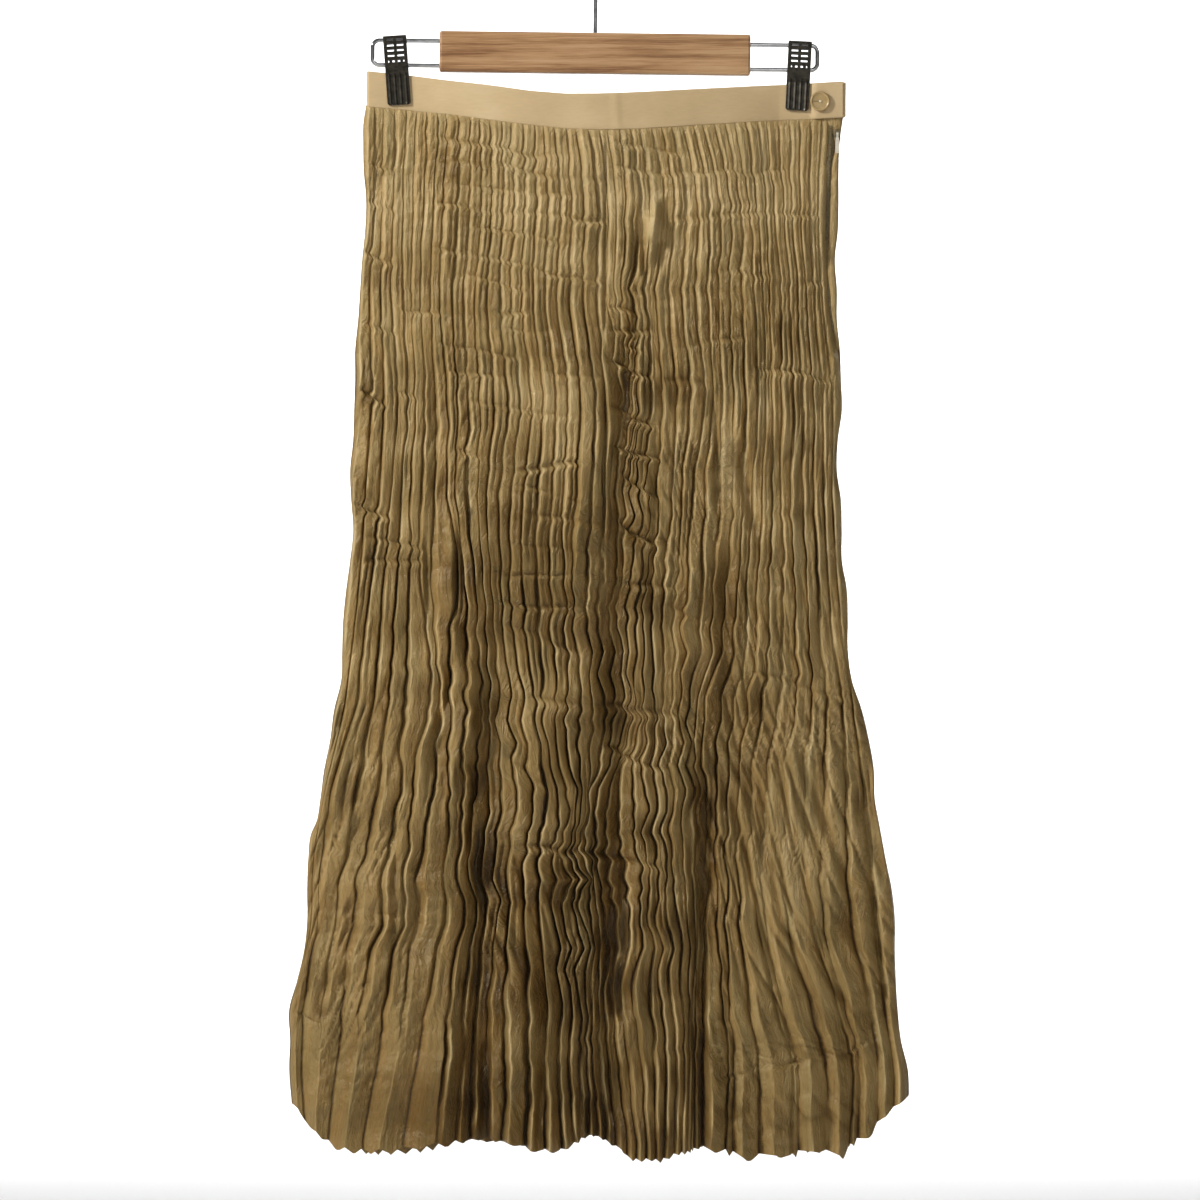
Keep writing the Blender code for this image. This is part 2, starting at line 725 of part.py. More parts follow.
def build_hook(chrome, group):
    """The hook: a stem in the bar, a short neck, and the crook over the rail."""
    centre_down = CROOK_RADIUS
    radius = CROOK_RADIUS + HOOK_WIRE_RADIUS
    neck_drop = math.sqrt((radius + NECK_RADIUS) ** 2 - NECK_RADIUS ** 2)
    neck_centre = (NECK_RADIUS, -centre_down - neck_drop)
    meeting = math.atan2(neck_drop, -NECK_RADIUS)
    points = [
        Vector((0, 0, -BAR_TOP_DOWN - STEM_IN_BAR)),
        Vector((0, 0, -BAR_TOP_DOWN)),
    ]
    points += arc(neck_centre, NECK_RADIUS, math.pi, meeting, 4)
    points += arc((0.0, -centre_down), radius, meeting - math.pi, CROOK_TIP_ANGLE, 20)[1:]
    hook = wire_object("hook", points, HOOK_WIRE_RADIUS, chrome)
    hook.parent = group


def build_arms(chrome, group):
    """The two wire loops that stand out of the bar's ends and carry the clips."""
    turn_across = ARM_REACH - WIRE_RADIUS - ARM_CORNER
    inside = BAR_LENGTH / 2 - WIRE_IN_BAR
    upper_corner = (turn_across, -UPPER_WIRE_DOWN - ARM_CORNER)
    lower_corner = (turn_across, -LOWER_WIRE_DOWN + ARM_CORNER)
    bend = arc(upper_corner, ARM_CORNER, math.pi / 2, 0.0, 5)
    bend += arc(lower_corner, ARM_CORNER, 0.0, -math.pi / 2, 5)
    for name, side in (("left", -1), ("right", 1)):
        points = [Vector((side * inside, 0, -UPPER_WIRE_DOWN))]
        points += [Vector((side * point.x, 0, point.z)) for point in bend]
        points.append(Vector((side * inside, 0, -LOWER_WIRE_DOWN)))
        arm = wire_object(f"arm_{name}", points, WIRE_RADIUS, chrome)
        arm.parent = group


def clip_plate_columns():
    """Place across a clip plate, and 1 on the crest of a rib, of each column of its points."""
    half = CLIP_WIDTH / 2
    columns = [(-half, 0.0)]
    for rib in range(CLIP_RIBS):
        middle = (rib - (CLIP_RIBS - 1) / 2) * RIB_PITCH
        columns += [(middle - RIB_HALF_WIDTH, 0.0), (middle, 1.0), (middle + RIB_HALF_WIDTH, 0.0)]
    columns.append((half, 0.0))
    return columns


def build_clip_plate(name, side, steel, group):
    """One pressed plate of a clip, with its slots, small holes and ribs: side is -1 at the front."""
    outer = []
    inner = []
    ribs_from = 28.0
    ribs_to = 51.0
    for down, depth in CLIP_PROFILE:
        ribbed = 1.0 if ribs_from < down < ribs_to else 0.0
        foot = 0.86 if down == CLIP_PROFILE[-1][0] else 1.0
        outer_row = []
        inner_row = []
        for across, crest in clip_plate_columns():
            face = side * (depth * MM + CLIP_PLATE + ribbed * crest * RIB_HEIGHT)
            inner_row.append(Vector((across * foot, side * depth * MM, -down * MM)))
            outer_row.append(Vector((across * foot, face, -down * MM)))
        outer.append(outer_row)
        inner.append(inner_row)
    plate = add_object(name, wall_mesh(outer, inner), steel)
    plate.parent = group

    holes = bmesh.new()
    through = 12 * MM
    for down in SLOT_DOWNS:
        for direction in (-1, 1):
            place = Vector((direction * SLOT_ACROSS, side * through / 2, -down))
            add_box(holes, place, (SLOT_SIZE[0], through, SLOT_SIZE[1]))
    for hole in range(CLIP_RIBS):
        across = (hole - (CLIP_RIBS - 1) / 2) * RIB_PITCH
        place = Vector((across, side * through / 2, -SMALL_HOLES_DOWN))
        add_box(holes, place, (SMALL_HOLE, through, SMALL_HOLE))
    hole_guide = add_object(f"guide_{name}_holes", holes, steel)
    hole_guide.parent = group
    apply_boolean(plate, hole_guide, "DIFFERENCE", "Slots and holes")


def build_clip_core(name, steel, group, tilt_group):
    """A clip's two cheeks round the wires, with its spring between them."""
    half = CLIP_WIDTH / 2 - CHEEK_INSET
    spring = bmesh.new()
    add_cylinder_along_x(spring, Vector((0, 0, -SPRING_DOWN)), SPRING_RADIUS, 2 * half - CHEEK_THICKNESS)
    core = add_object(name, spring, steel)
    core.parent = group

    cheeks = bmesh.new()
    height = CHEEK_FOOT_DOWN - CHEEK_TOP_DOWN
    middle_down = (CHEEK_FOOT_DOWN + CHEEK_TOP_DOWN) / 2
    for direction in (-1, 1):
        place = Vector((direction * (half - CHEEK_THICKNESS / 2), 0, -middle_down))
        add_box(cheeks, place, (CHEEK_THICKNESS, 2 * CHEEK_HALF_DEPTH, height))
    cheek_guide = add_object(f"guide_{name}_cheeks", cheeks, steel)
    cheek_guide.parent = group
    apply_boolean(core, cheek_guide, "UNION", "Cheeks")

    wires = bmesh.new()
    for down in (UPPER_WIRE_DOWN, LOWER_WIRE_DOWN):
        place = Vector((group.location.x, 0, -down))
        add_cylinder_along_x(wires, place, WIRE_RADIUS + CLEARANCE, 2 * CLIP_WIDTH)
    wire_guide = add_object(f"guide_{name}_wires", wires, steel)
    wire_guide.parent = tilt_group
    apply_boolean(core, wire_guide, "DIFFERENCE", "Wires")


def build_clips(steel, tilt_group):
    """The two pinch clips on the arms, each gripping the waistband between its plates."""
    for name, top_across, top_down, foot_across, foot_down in CLIPS:
        group = bpy.data.objects.new(f"clip_{name}", None)
        lean = math.atan2(top_across - foot_across, foot_down - top_down)
        group.location = (top_across * MM, 0.0, -top_down * MM)
        group.rotation_euler = (0.0, lean, 0.0)
        bpy.context.scene.collection.objects.link(group)
        build_clip_plate(f"clip_{name}_front", -1, steel, group)
        build_clip_plate(f"clip_{name}_back", 1, steel, group)
        build_clip_core(f"clip_{name}_core", steel, group, tilt_group)


def main():
    """Build the skirt and the hanger that holds it."""
    clear_scene()
    satin = material("satin", (0.42, 0.32, 0.17), 0.42)
    band_cloth = material("band_cloth", (0.56, 0.41, 0.21), 0.6)
    tape_cloth = material("tape_cloth", (0.13, 0.10, 0.05), 0.8)
    resin = material("resin", (0.52, 0.36, 0.15), 0.3)
    enamel = material("enamel", (0.75, 0.68, 0.52), 0.35)
    wood = material("wood", (0.47, 0.27, 0.13), 0.5)
    chrome = material("chrome", (0.75, 0.75, 0.74), 0.15, 1.0)
    steel = material("dark_steel", (0.07, 0.06, 0.05), 0.35, 1.0)

    edge_at_zip = build_skirt(satin)
    build_band_stretch("waistband_front", front_band_path(), band_cloth)
    build_band_stretch("waistband_back", back_band_path(), band_cloth)
    build_button(resin)
    build_zip_tape(tape_cloth, edge_at_zip)
    build_zip_slider(enamel)
    build_zip_pull(enamel)
    group = hanger_group()
    build_bar(wood, group)
    build_hook(chrome, group)
    build_arms(chrome, group)
    build_clips(steel, group)


main()
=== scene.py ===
"""Looks for the maxi skirt on its wooden clip hanger: cloth, metal, wood, light and camera.

Metres, +Z up, the front looks along -Y, the origin is the inner top of the hook's crook.
Tables give places in millimetres: "across" is X, and "down" is the drop below the origin.
"""

import math
from collections import namedtuple

import bmesh
import bpy
import numpy as np
from mathutils import Matrix, Vector

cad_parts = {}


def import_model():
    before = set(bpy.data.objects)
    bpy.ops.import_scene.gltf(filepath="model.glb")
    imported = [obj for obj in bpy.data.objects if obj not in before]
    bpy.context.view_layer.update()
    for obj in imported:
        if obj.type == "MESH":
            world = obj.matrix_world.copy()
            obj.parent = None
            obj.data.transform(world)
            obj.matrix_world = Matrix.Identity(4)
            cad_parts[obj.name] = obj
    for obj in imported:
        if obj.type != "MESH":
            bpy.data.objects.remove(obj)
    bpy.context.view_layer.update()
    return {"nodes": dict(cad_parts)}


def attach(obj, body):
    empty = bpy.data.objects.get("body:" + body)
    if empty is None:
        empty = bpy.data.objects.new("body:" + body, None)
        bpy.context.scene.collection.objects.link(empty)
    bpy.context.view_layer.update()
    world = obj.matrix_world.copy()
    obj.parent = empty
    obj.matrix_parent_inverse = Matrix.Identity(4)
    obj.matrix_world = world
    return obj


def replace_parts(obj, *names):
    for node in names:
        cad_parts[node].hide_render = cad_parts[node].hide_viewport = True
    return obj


MM = 0.001

# Camera: the photo's frame is 0.9 m square at the skirt
CAMERA_PLACE = (0.0026, -5.0, -0.50525)
FRAME_WIDTH = 0.9

# Cloth, in millimetres: the gap between pieces, half the gap at a seam, half a panel's wall, the band's
CLEARANCE = 0.3
HALF_SEAM = CLEARANCE / 2
HALF_WALL = 1.2
BAND_WALL = 2.0
# Across at which the clips hold the waist flat, and the share of the length by which that has faded
PINCHED_FROM = 137.0
PINCH_FADES_BY = 0.14
# Share of the body's depth that folds never press in
FOLD_KEEPS = 0.42
# How far the cloth reaches up under the band
TUCKED_UNDER_BAND = 1.2
# How far a crest dips below its valleys at the hem, and how much more it does to each side of the middle
HEM_DIP = 2.2
HEM_DIP_ADDED = 2.4
# How far the back's valleys are drawn to an even spacing, and how much they crowd again by turns
BACK_EVENNESS = 0.65
BACK_CROWDING = 0.035
PLEATS = 44
# The front's mesh is made in strips of pleats, which share their points where they meet
FRONT_STRIPS = 4
# Places in a pleat that get a column of points, from one valley to the next, and the one that is its crest
FRONT_STEPS = (
    0.0, 0.04, 0.10, 0.17, 0.235, 0.27, 0.30, 0.36, 0.45, 0.56, 0.67, 0.77, 0.85, 0.905, 0.945, 0.975,
)
BACK_STEPS = (0.0, 0.12, 0.27, 0.5, 0.76, 0.92)
CREST_STEP = 0.27

# Side edges: down, left edge across, right edge across
EDGES = (
    (136, -173.2, 186),
    (149, -175.1, 184.1),
    (160.3, -175.1, 182.6),
    (182.8, -174.7, 181.6),
    (205.3, -172.9, 181.6),
    (227.8, -173.6, 181.1),
    (250.3, -175.9, 178.9),
    (272.8, -177.4, 180.4),
    (295.3, -178.9, 180.4),
    (317.8, -181.1, 182.6),
    (340.3, -181.1, 183.4),
    (362.8, -181.9, 184.1),
    (385.3, -182.6, 181.1),
    (407.8, -184.9, 180.4),
    (430.3, -184.1, 183.4),
    (452.8, -182.6, 184.1),
    (475.3, -184.9, 184.1),
    (497.8, -187.9, 187.9),
    (520.3, -190.1, 188.6),
    (542.8, -190.9, 188.6),
    (565.3, -191.6, 191.6),
    (587.8, -196.9, 199.1),
    (610.3, -199.9, 204.4),
    (632.8, -204.4, 208.1),
    (655.3, -207.4, 208.9),
    (672, -210.4, 211.9),
    (679, -213.6, 213.2),
    (700.3, -216.4, 217.1),
    (722.8, -217.1, 221.6),
    (745.3, -217.1, 223.9),
    (767.8, -219.4, 223.9),
    (790.3, -224.6, 224.6),
    (812.8, -230.6, 226),
    (835.3, -229.9, 228.4),
    (857.8, -230.6, 233.6),
    (884, -228.6, 234.4),
)

# Drops at which the table of valleys has its columns
VALLEY_DOWNS = (
    149, 205.3, 280.3, 355.3, 430.3, 490.3, 535.3, 580.3, 640.3, 692.8, 745.3, 805.3, 850.3, 910.3,
)
# Where each valley between the front's pleats runs, across, at those drops, from left edge to right edge
VALLEYS = (
    (-175, -173, -178, -182, -184, -187, -190, -194.5, -206, -216.5, -217, -230, -230, -228.5),
    (-166.5, -167, -170, -169, -173, -177.5, -182.5, -188, -201.5, -211, -214, -224.5, -225.5, -223),
    (-160, -161, -161.5, -159.5, -163, -168.5, -174.5, -179.5, -197, -205, -209, -218.5, -221, -217),
    (-151, -152, -153.5, -149, -154, -159.5, -162.5, -167, -179.5, -186.5, -195.5, -204.5, -207.5, -210.5),
    (-142.5, -145, -145, -141.5, -146.5, -149, -152.5, -156.5, -164.5, -173, -183.5, -190, -194.5, -201.5),
    (-135.5, -137.5, -138.5, -135.5, -139, -140, -142, -144.5, -149, -156.5, -162.5, -176, -179.5, -188.5),
    (-127, -129.5, -131.5, -128.5, -131.5, -132.5, -126.5, -125.5, -139, -142, -146.5, -158, -164, -175),
    (-118.5, -122, -124, -121, -121, -124, -121, -119, -123.5, -131, -136, -143.5, -149.5, -162.5),
    (-112, -115, -117.5, -112, -110.5, -102.5, -110.5, -112, -113, -112, -115, -126.5, -134.5, -145),
    (-103, -104, -107.5, -104.5, -104.5, -97, -98, -100, -104, -103, -101.5, -110.5, -115, -120.5),
    (-94.5, -95, -99.5, -96.5, -96.5, -90.5, -89, -87.5, -93.5, -94, -92.5, -99.5, -101, -106),
    (-87.5, -86, -91, -87.5, -88, -84.5, -82, -80.5, -83.5, -83.5, -84.5, -90.5, -93.5, -95.5),
    (-79.5, -78.5, -82, -77, -81.5, -78.5, -75.5, -73, -74.5, -74, -74.5, -82, -82, -82),
    (-70.5, -70, -72.5, -67, -72.5, -71.5, -68.5, -64, -63.5, -63.5, -66.5, -70, -68, -71),
    (-64, -62, -64, -58, -63.5, -65, -60.5, -54.5, -52, -51.5, -54.5, -52, -51.5, -53.5),
    (-55, -53.5, -56, -49, -54.5, -55, -51.5, -46, -41, -41, -42.5, -36.5, -38.5, -38.5),
    (-46.5, -45.5, -47.5, -40, -44.5, -44.5, -42.5, -39.5, -32.5, -30.5, -31, -26, -29, -26.5),
    (-40, -36.5, -38.5, -30.5, -34, -34, -33.5, -29.5, -26, -23, -23, -17, -20.5, -17.5),
    (-31.5, -27.5, -29.5, -22, -25, -23, -23.5, -21.5, -17.5, -17.5, -14.5, -11.5, -12.5, -11.5),
    (-23, -19, -20, -12.5, -16, -17, -15.5, -12.5, -11.5, -12.5, -8.5, -7, -7, -6.5),
    (-16, -9.5, -10, -2, -5, -8, -5.5, -3.5, -5.5, -6.5, -3.5, -3.5, -2.5, 0.5),
    (-7, 1, 0.5, 5.5, 4, 1, 2.5, 3.5, -0.5, -2, 2, 1, 2.5, 7),
    (1.5, 8.5, 8.5, 16, 14, 11.5, 11.5, 11.5, 5, 3.5, 7, 6.5, 8.5, 14.5),
    (8, 14.5, 15.5, 23, 19, 17.5, 18.5, 19, 11, 9.5, 13, 12.5, 15.5, 23),
    (16.5, 22, 20.5, 26.5, 25, 25, 23.5, 23.5, 17, 20, 25, 19, 23, 29.5),
    (25, 32, 26.5, 31, 31, 32.5, 30.5, 28, 26, 30.5, 35, 28, 33.5, 36.5),
    (32, 40, 36.5, 40, 38.5, 37, 37, 34, 34, 37, 41.5, 41.5, 43, 44),
    (41, 50.5, 44, 49, 45.5, 42.5, 43, 41, 41.5, 43, 47.5, 49, 51.5, 50.5),
    (49, 58, 53.5, 59.5, 56, 50.5, 50.5, 49, 49, 48.5, 55, 56, 59, 58),
    (56, 66.5, 64, 69.5, 63.5, 62, 58, 57.5, 56, 53.5, 62, 63.5, 65.5, 64),
    (64.5, 75.5, 74, 80.5, 71, 70, 65, 65.5, 63.5, 60.5, 69.5, 68, 69.5, 68.5),
    (73, 83.5, 83, 86.5, 80.5, 80, 77, 71.5, 70, 67, 75.5, 71.5, 72.5, 71.5),
    (79.5, 92, 91, 93.5, 92, 88, 86, 76, 74.5, 73.5, 76, 73, 73, 72.5),
    (89, 99.5, 99.5, 102.5, 101.5, 98, 94, 81.5, 80.5, 80.5, 81.5, 79, 79, 79),
    (97, 107, 108.5, 111.5, 108.5, 107, 102.5, 93.5, 89.5, 88, 90.5, 94.5, 98, 96.5),
    (104, 113.5, 118, 120.5, 116.5, 113, 111.5, 102.5, 98, 96, 97.5, 99, 102, 101.5),
    (112.5, 119.5, 125, 126.5, 123.5, 120.5, 119.5, 113, 106.5, 104.5, 107.5, 114, 120.5, 121.5),
    (121, 126.5, 129.5, 131.5, 131, 129.5, 128.5, 124, 115, 113.5, 120, 133, 146, 146),
    (127.5, 133, 137.5, 138.5, 137.5, 140, 138.5, 137, 126.5, 122, 126, 137.5, 150, 151),
    (136.5, 140, 144.5, 147.5, 145, 149, 149, 149.5, 140, 138, 142.5, 158, 171, 171.5),
    (145, 146, 150.5, 154, 154, 158, 159.5, 161.5, 155, 154, 161, 179, 191.5, 189.5),
    (152, 152.5, 157, 162.5, 162.5, 166, 167, 172, 170, 168, 170, 184.5, 196, 195),
    (160.5, 159.5, 163, 169, 170, 173.5, 176.5, 184, 186, 187, 191, 203, 210.5, 210),
    (169, 166, 169, 176.5, 176.5, 180.5, 184, 191.5, 199, 204.5, 209, 214.5, 221.5, 223),
    (176, 173.5, 174.5, 183.5, 183.5, 185.5, 189.5, 197, 208, 216.5, 224, 224.5, 230.5, 233),
)

# Waistband: across, top edge down, bottom edge down
WAISTBAND = (
    (-172.5, 108.5, 135.5),
    (-143.6, 111.5, 138.1),
    (-110.6, 116, 141.7),
    (-79.9, 119.6, 145.9),
    (-49.9, 124, 149.8),
    (-22.9, 126.2, 152.8),
    (2.6, 126.1, 153.7),
    (32.6, 125, 152.8),
    (77.6, 122.4, 149.8),
    (122.6, 119.8, 146.8),
    (187.2, 116.4, 143.6),
)
BAND_END = 184.5
BAND_LEFT_FOLD = -170.4
BAND_RIGHT_FOLD = 185.0
UNDERLAP_END = 165.6
OVERLAP_FROM = 160.0
OVERLAP_TO = 165.0
UNDERLAP_INSET = 1.2
FOLD_STEPS = 8
# The band's waves, broad and fine: seed, length of a cell, cells in its height, and depth
BAND_SWELL = (501, 24.0, 1.6, 0.28)
BAND_RIPPLE = (502, 5.0, 0.8, 0.12)
# They begin this far before the band's end and are full after this length
BAND_WAVES_BEFORE = 4.0
BAND_WAVES_OVER = 30.0
# The crease in the band's front: its place across at the top, lean to the bottom, half width and depth
BAND_CREASE_AT = 14.0
BAND_CREASE_LEAN = 2.0
BAND_CREASE_WIDTH = 2.6
BAND_CREASE_DEPTH = 0.55

# Hem: across, down
FRONT_HEM = (
    (-229.9, 883.3),
    (-222.4, 886.3),
    (-214.9, 899),
    (-207.4, 906.5),
    (-192.4, 916.3),
    (-180, 918.5),
    (-162.4, 918.5),
    (-147.4, 917),
    (-124.9, 912.5),
    (-102.4, 908.8),
    (-80, 909.5),
    (-57.4, 912.8),
    (-49.9, 916.6),
    (-27.4, 914.3),
    (-12.4, 907.5),
    (-4.9, 904.3),
    (2.6, 907.3),
    (17.6, 915.5),
    (25.1, 922.3),
    (40.1, 923),
    (47.6, 924.5),
    (62.6, 918.5),
    (77.6, 914),
    (92.6, 916.3),
    (115.1, 921.5),
    (130.1, 917.8),
    (145.1, 920.8),
    (160.1, 915.5),
    (182.6, 920),
    (190.1, 911.8),
    (205.1, 905),
    (212.6, 893.8),
    (227.6, 881),
    (235.1, 875),
)
BACK_HEM = (
    (-227.6, 883.3),
    (-189.4, 918),
    (-150.4, 921.5),
    (-99.4, 911),
    (-49.9, 915),
    (0, 908),
    (45, 918),
    (85, 917.5),
    (150, 918),
    (184.1, 918),
    (205.1, 904.3),
    (234.4, 874.3),
)

# Body: share of the length, depth of the hollow's half at its middle
BODY_DEPTH = ((0, 11), (0.1, 11.5), (0.3, 13), (0.5, 15), (0.75, 19), (1, 24))

# Pleats: share of the length, depth as a share of the width, where the crest lies across the pleat,
# how far the flat beside the crest falls, lean to the left
PLEAT_SHAPE = (
    (0, 0.20, 0.34, 0.30, 0),
    (0.06, 0.24, 0.34, 0.30, 0.10),
    (0.3, 0.40, 0.28, 0.38, 0.18),
    (0.6, 0.60, 0.26, 0.48, 0.22),
    (0.8, 0.62, 0.32, 0.62, 0.20),
    (1, 0.62, 0.45, 0.90, 0.05),
)

# Broad folds: first share down, across there, last share down, across there, half width, depth
FRONT_FOLDS = (
    (0.22, -122, 0.47, -114, 8, 4.5),
    (0.46, -76, 1.15, -96, 14, 11),
    (0.12, 24, 1.20, 4, 13, 10),
    (0.58, 80, 1.15, 77, 8, 11),
    (0.70, 185, 1.15, 196, 16, 3.5),
    (0.55, -38, 1.15, -32, 16, -3),
    (0.50, 52, 1.15, 46, 14, -3),
)
BACK_FOLDS = (
    (0.40, -70, 1.15, -84, 13, 8),
    (0.15, -14, 1.15, -2, 12, 5),
    (0.50, 78, 1.15, 92, 13, 8),
    (0.45, 30, 1.15, 40, 15, -3),
)

# Shares of the length from which and by which pleats open into flat facets that rise and fall by turns
FACETS_FROM = 0.80
FACETS_BY = 0.93
FACET_SLOPE = 0.66
FACET_HEIGHT = 8.0
# They open only to the left of this place across, over this width
OPENED_LEFT_OF = -110.0
OPENED_OVER = 14.0

# Unevenness from pleat to pleat: added to the seed, cells a pleat, drop of a cell, kinked or smooth, amount
UNEVENNESS = {
    "hem": (0, 0.5, 1, False, 1.6),
    "wander together": (1, 0.23, 17, True, 1.1),
    "wander alone": (2, 1, 13, True, 1),
    "where valleys kink": (16, 0.13, 46, False, 1.6),
    "valley kinks": (17, 0.21, 7, True, 1),
    "crest": (4, 0.9, 42, False, 0.13),
    "fall": (15, 0.7, 60, False, 0.6),
    "lean": (3, 0.23, 70, False, 0.9),
    "depth": (5, 0.9, 34, False, 0.36),
    "long depth": (20, 0.8, 110, False, 0.5),
    "second crease place": (6, 0.7, 60, False, 0.16),
    "second crease depth": (8, 0.9, 50, False, 1),
    "facets begin": (13, 0.4, 1, False, 0.06),
    "where cloth kinks": (18, 0.17, 40, False, 1.4),
    "cloth kinks": (19, 0.4, 5.5, False, 0.75),
    "crimp rag": (30, 0.45, 90, False, 2.6),
    "crimp long rag": (130, 0.14, 90, False, 4),
    "crimp strength": (60, 0.5, 60, False, 0.5),
    "dark valleys": (14, 0.9, 28, False, 0.9),
    "lit crests": (21, 0.9, 24, False, 1),
    "shaded flats": (22, 0.23, 22, False, 0.9),
}
# Unevenness of the cloth itself: added to the seed, width of a cell, height of a cell, amount
CRUMPLES = ((9, 4.2, 13, 0.36), (10, 1.7, 6, 0.16))
SWELLS = ((7, 70, 20, 2.6), (12, 30, 34, 1.6))
CREASE_SWIRL = ((80, 38, 60, 5),)

# Wander of the valleys: at the waist, what is added by mid length, and the share lost again at the hem
WANDER_AT_WAIST = 0.5
WANDER_ADDED = 0.9
WANDER_LOST = 0.7
# Valleys nearer a side edge than this many pleats wander less
HELD_PLEATS = 4

# Crimps: the width over which one fades at its ends, its strength, and how it shifts, steps and ticks
CRIMP_FADES = 14.0
CRIMP_STRENGTH = 0.65
CRIMP_SHIFT = 2.6
CRIMP_STEP = 1.5
TICK_AT = 0.5
TICK_WIDTH = 0.32

# Fine creases: added to the seed, how narrow a groove is, how far a patch spreads, and depths
CREASE_SEED = 90
GROOVE_SHARPNESS = 2.6
PATCH_SPREAD = 1.6
GROOVE_DEPTH = 1.1
RIPPLE_DEPTH = 0.5

# Single creases: the share of the length over which one fades, and how the table's depths are raised
PRESS_FADES = 0.25
PRESS_GAIN = 1.4

# Small forms of a pleat: the usual lean, its share of height at the waist, and the drop in which it rises
USUAL_LEAN = 0.7
HEIGHT_AT_WAIST = 0.15
RISES_IN = 8.0
# The second crease on a pleat's flat: its place, half width and depth
SECOND_AT = 0.60
SECOND_WIDTH = 0.06
SECOND_DEPTH = 0.45
# How much of its own height a pleat may be pressed in, and the width in which cloth joins the side seam
PRESSED_OF_HEIGHT = 0.6
JOINS_SEAM_IN = 4.0

# Light and shade drawn along a pleat: half widths in millimetres, and strengths
VALLEY_LINE = 0.6
VALLEY_SHADE_WIDTH = 1.7
VALLEY_SHADE = 0.2
CREST_LINE = 0.9
CREST_LIGHT_AT_WAIST = 0.4
CREST_LIGHT_ADDED = 0.85
FLAT_SHADE = 0.42
CALMED = 0.85
SECOND_CREASE_SHADE = 0.45
FINE_CREASE_SHADE = 0.4
PRESSED_SHADE = 0.035
TICK_SHADE = 0.55
LIGHTEST = -0.75
DARKEST = 1.45

# Restless places, where pleats wander most: across, down, half width, half height, extra wander
FRONT_RESTLESS = (
    (26, 300, 12, 90, 2.6),
    (24, 470, 36, 110, 2.4),
    (-10, 640, 60, 90, 2.8),
    (0, 740, 70, 70, 2.6),
    (-100, 620, 30, 80, 2),
    (60, 620, 30, 90, 2),
    (170, 700, 40, 90, 1.6),
    (-180, 700, 40, 90, 1.6),
)
BACK_RESTLESS = (
    (-10, 480, 60, 110, 1.6),
    (40, 680, 80, 110, 2),
    (-120, 660, 50, 90, 2),
)

# Single creases: from across, down, to across, down, half width, depth pressed in
FRONT_PRESSES = (
    (45, 205, 40, 260, 4, -3.4),
    (33.5, 214, 36, 266, 1.8, 3.2),
    (54, 200, 49, 262, 1.6, 2.6),
    (88, 350, 91, 440, 2.2, 3),
    (111, 352, 113, 450, 2, 3),
    (-128, 455, -126, 520, 2.2, 3),
    (-103, 455, -104, 525, 2.2, 3.4),
    (7, 158, 6, 330, 1.3, 1.6),
    (6, 330, 5, 560, 1.5, 2.2),
    (-91, 558, -110, 655, 5, -4),
    (-106, 540, -122, 640, 4, 4),
    (-80, 590, -94, 690, 4, 4),
    (51, 205, 41, 262, 2.6, 2.6),
    (41, 216, 42, 238, 8, -3),
    (30, 225, 28, 330, 3, 2.6),
    (-119, 466, -110, 520, 5, -3),
    (-100, 450, -98, 560, 4, 3.5),
    (106, 385, 121, 462, 5, 4.5),
    (84, 645, 80, 735, 3.5, 5.5),
    (76, 800, 75, 925, 3.5, 6),
    (-80, 695, -84, 735, 6, 5),
    (-79, 831, -82, 925, 5, 6.5),
    (12, 770, 20, 820, 6, 6),
    (24, 680, 18, 780, 5, 4),
    (-130, 675, -128, 780, 12, 4),
    (97, 455, 98, 585, 7, 4),
    (22, 330, 26, 440, 3.5, 3),
    (46, 400, 40, 520, 3, 2.5),
    (-140, 395, -150, 470, 4, 2.5),
    (-165, 590, -182, 690, 3, 2.5),
    (-150, 660, -152, 780, 3, 3),
    (200, 640, 214, 800, 3.5, 2.5),
    (-12, 830, -6, 925, 4, 4),
    (-40, 850, -44, 925, 3.5, 3.5),
)
BACK_PRESSES = (
    (-70, 420, -86, 560, 4, 4),
    (60, 360, 78, 520, 4, 4),
    (-20, 560, -10, 720, 4, 4.5),
    (120, 640, 128, 900, 5, 5),
    (-140, 600, -150, 800, 5, 4),
    (30, 760, 36, 925, 4, 5),
    (-60, 800, -66, 925, 4, 5),
)

# Calm and deep places: across, down, half width, half height, pleat depth there against the usual
FRONT_ZONES = (
    (-5, 680, 75, 190, 1.55),
    (24, 350, 9, 120, 1.7),
    (1, 257, 5, 38, 0.6),
    (41, 227, 10, 19, 0.05),
    (100, 400, 10, 52, 0.08),
    (-117, 482, 6, 18, 0.2),
    (-113, 504, 6, 16, 0.2),
    (-62, 690, 9, 42, 0.4),
    (84, 560, 11, 30, 0.45),
    (59, 478, 6, 20, 0.3),
    (-135, 765, 18, 55, 0.4),
    (15, 760, 8, 40, 0.5),
    (175, 540, 10, 30, 0.3),
    (36, 375, 12, 110, 1.7),
    (-98, 500, 9, 60, 1.6),
    (-84, 735, 12, 85, 1.6),
    (-10, 745, 18, 120, 1.3),
    (35, 520, 20, 60, 1.4),
    (114, 385, 8, 80, 1.4),
    (81, 670, 7, 70, 1.5),
    (75, 860, 6, 70, 1.5),
    (150, 680, 66, 140, 0.1),
    (170, 860, 60, 70, 0.45),
    (-195, 720, 35, 100, 0.25),
)
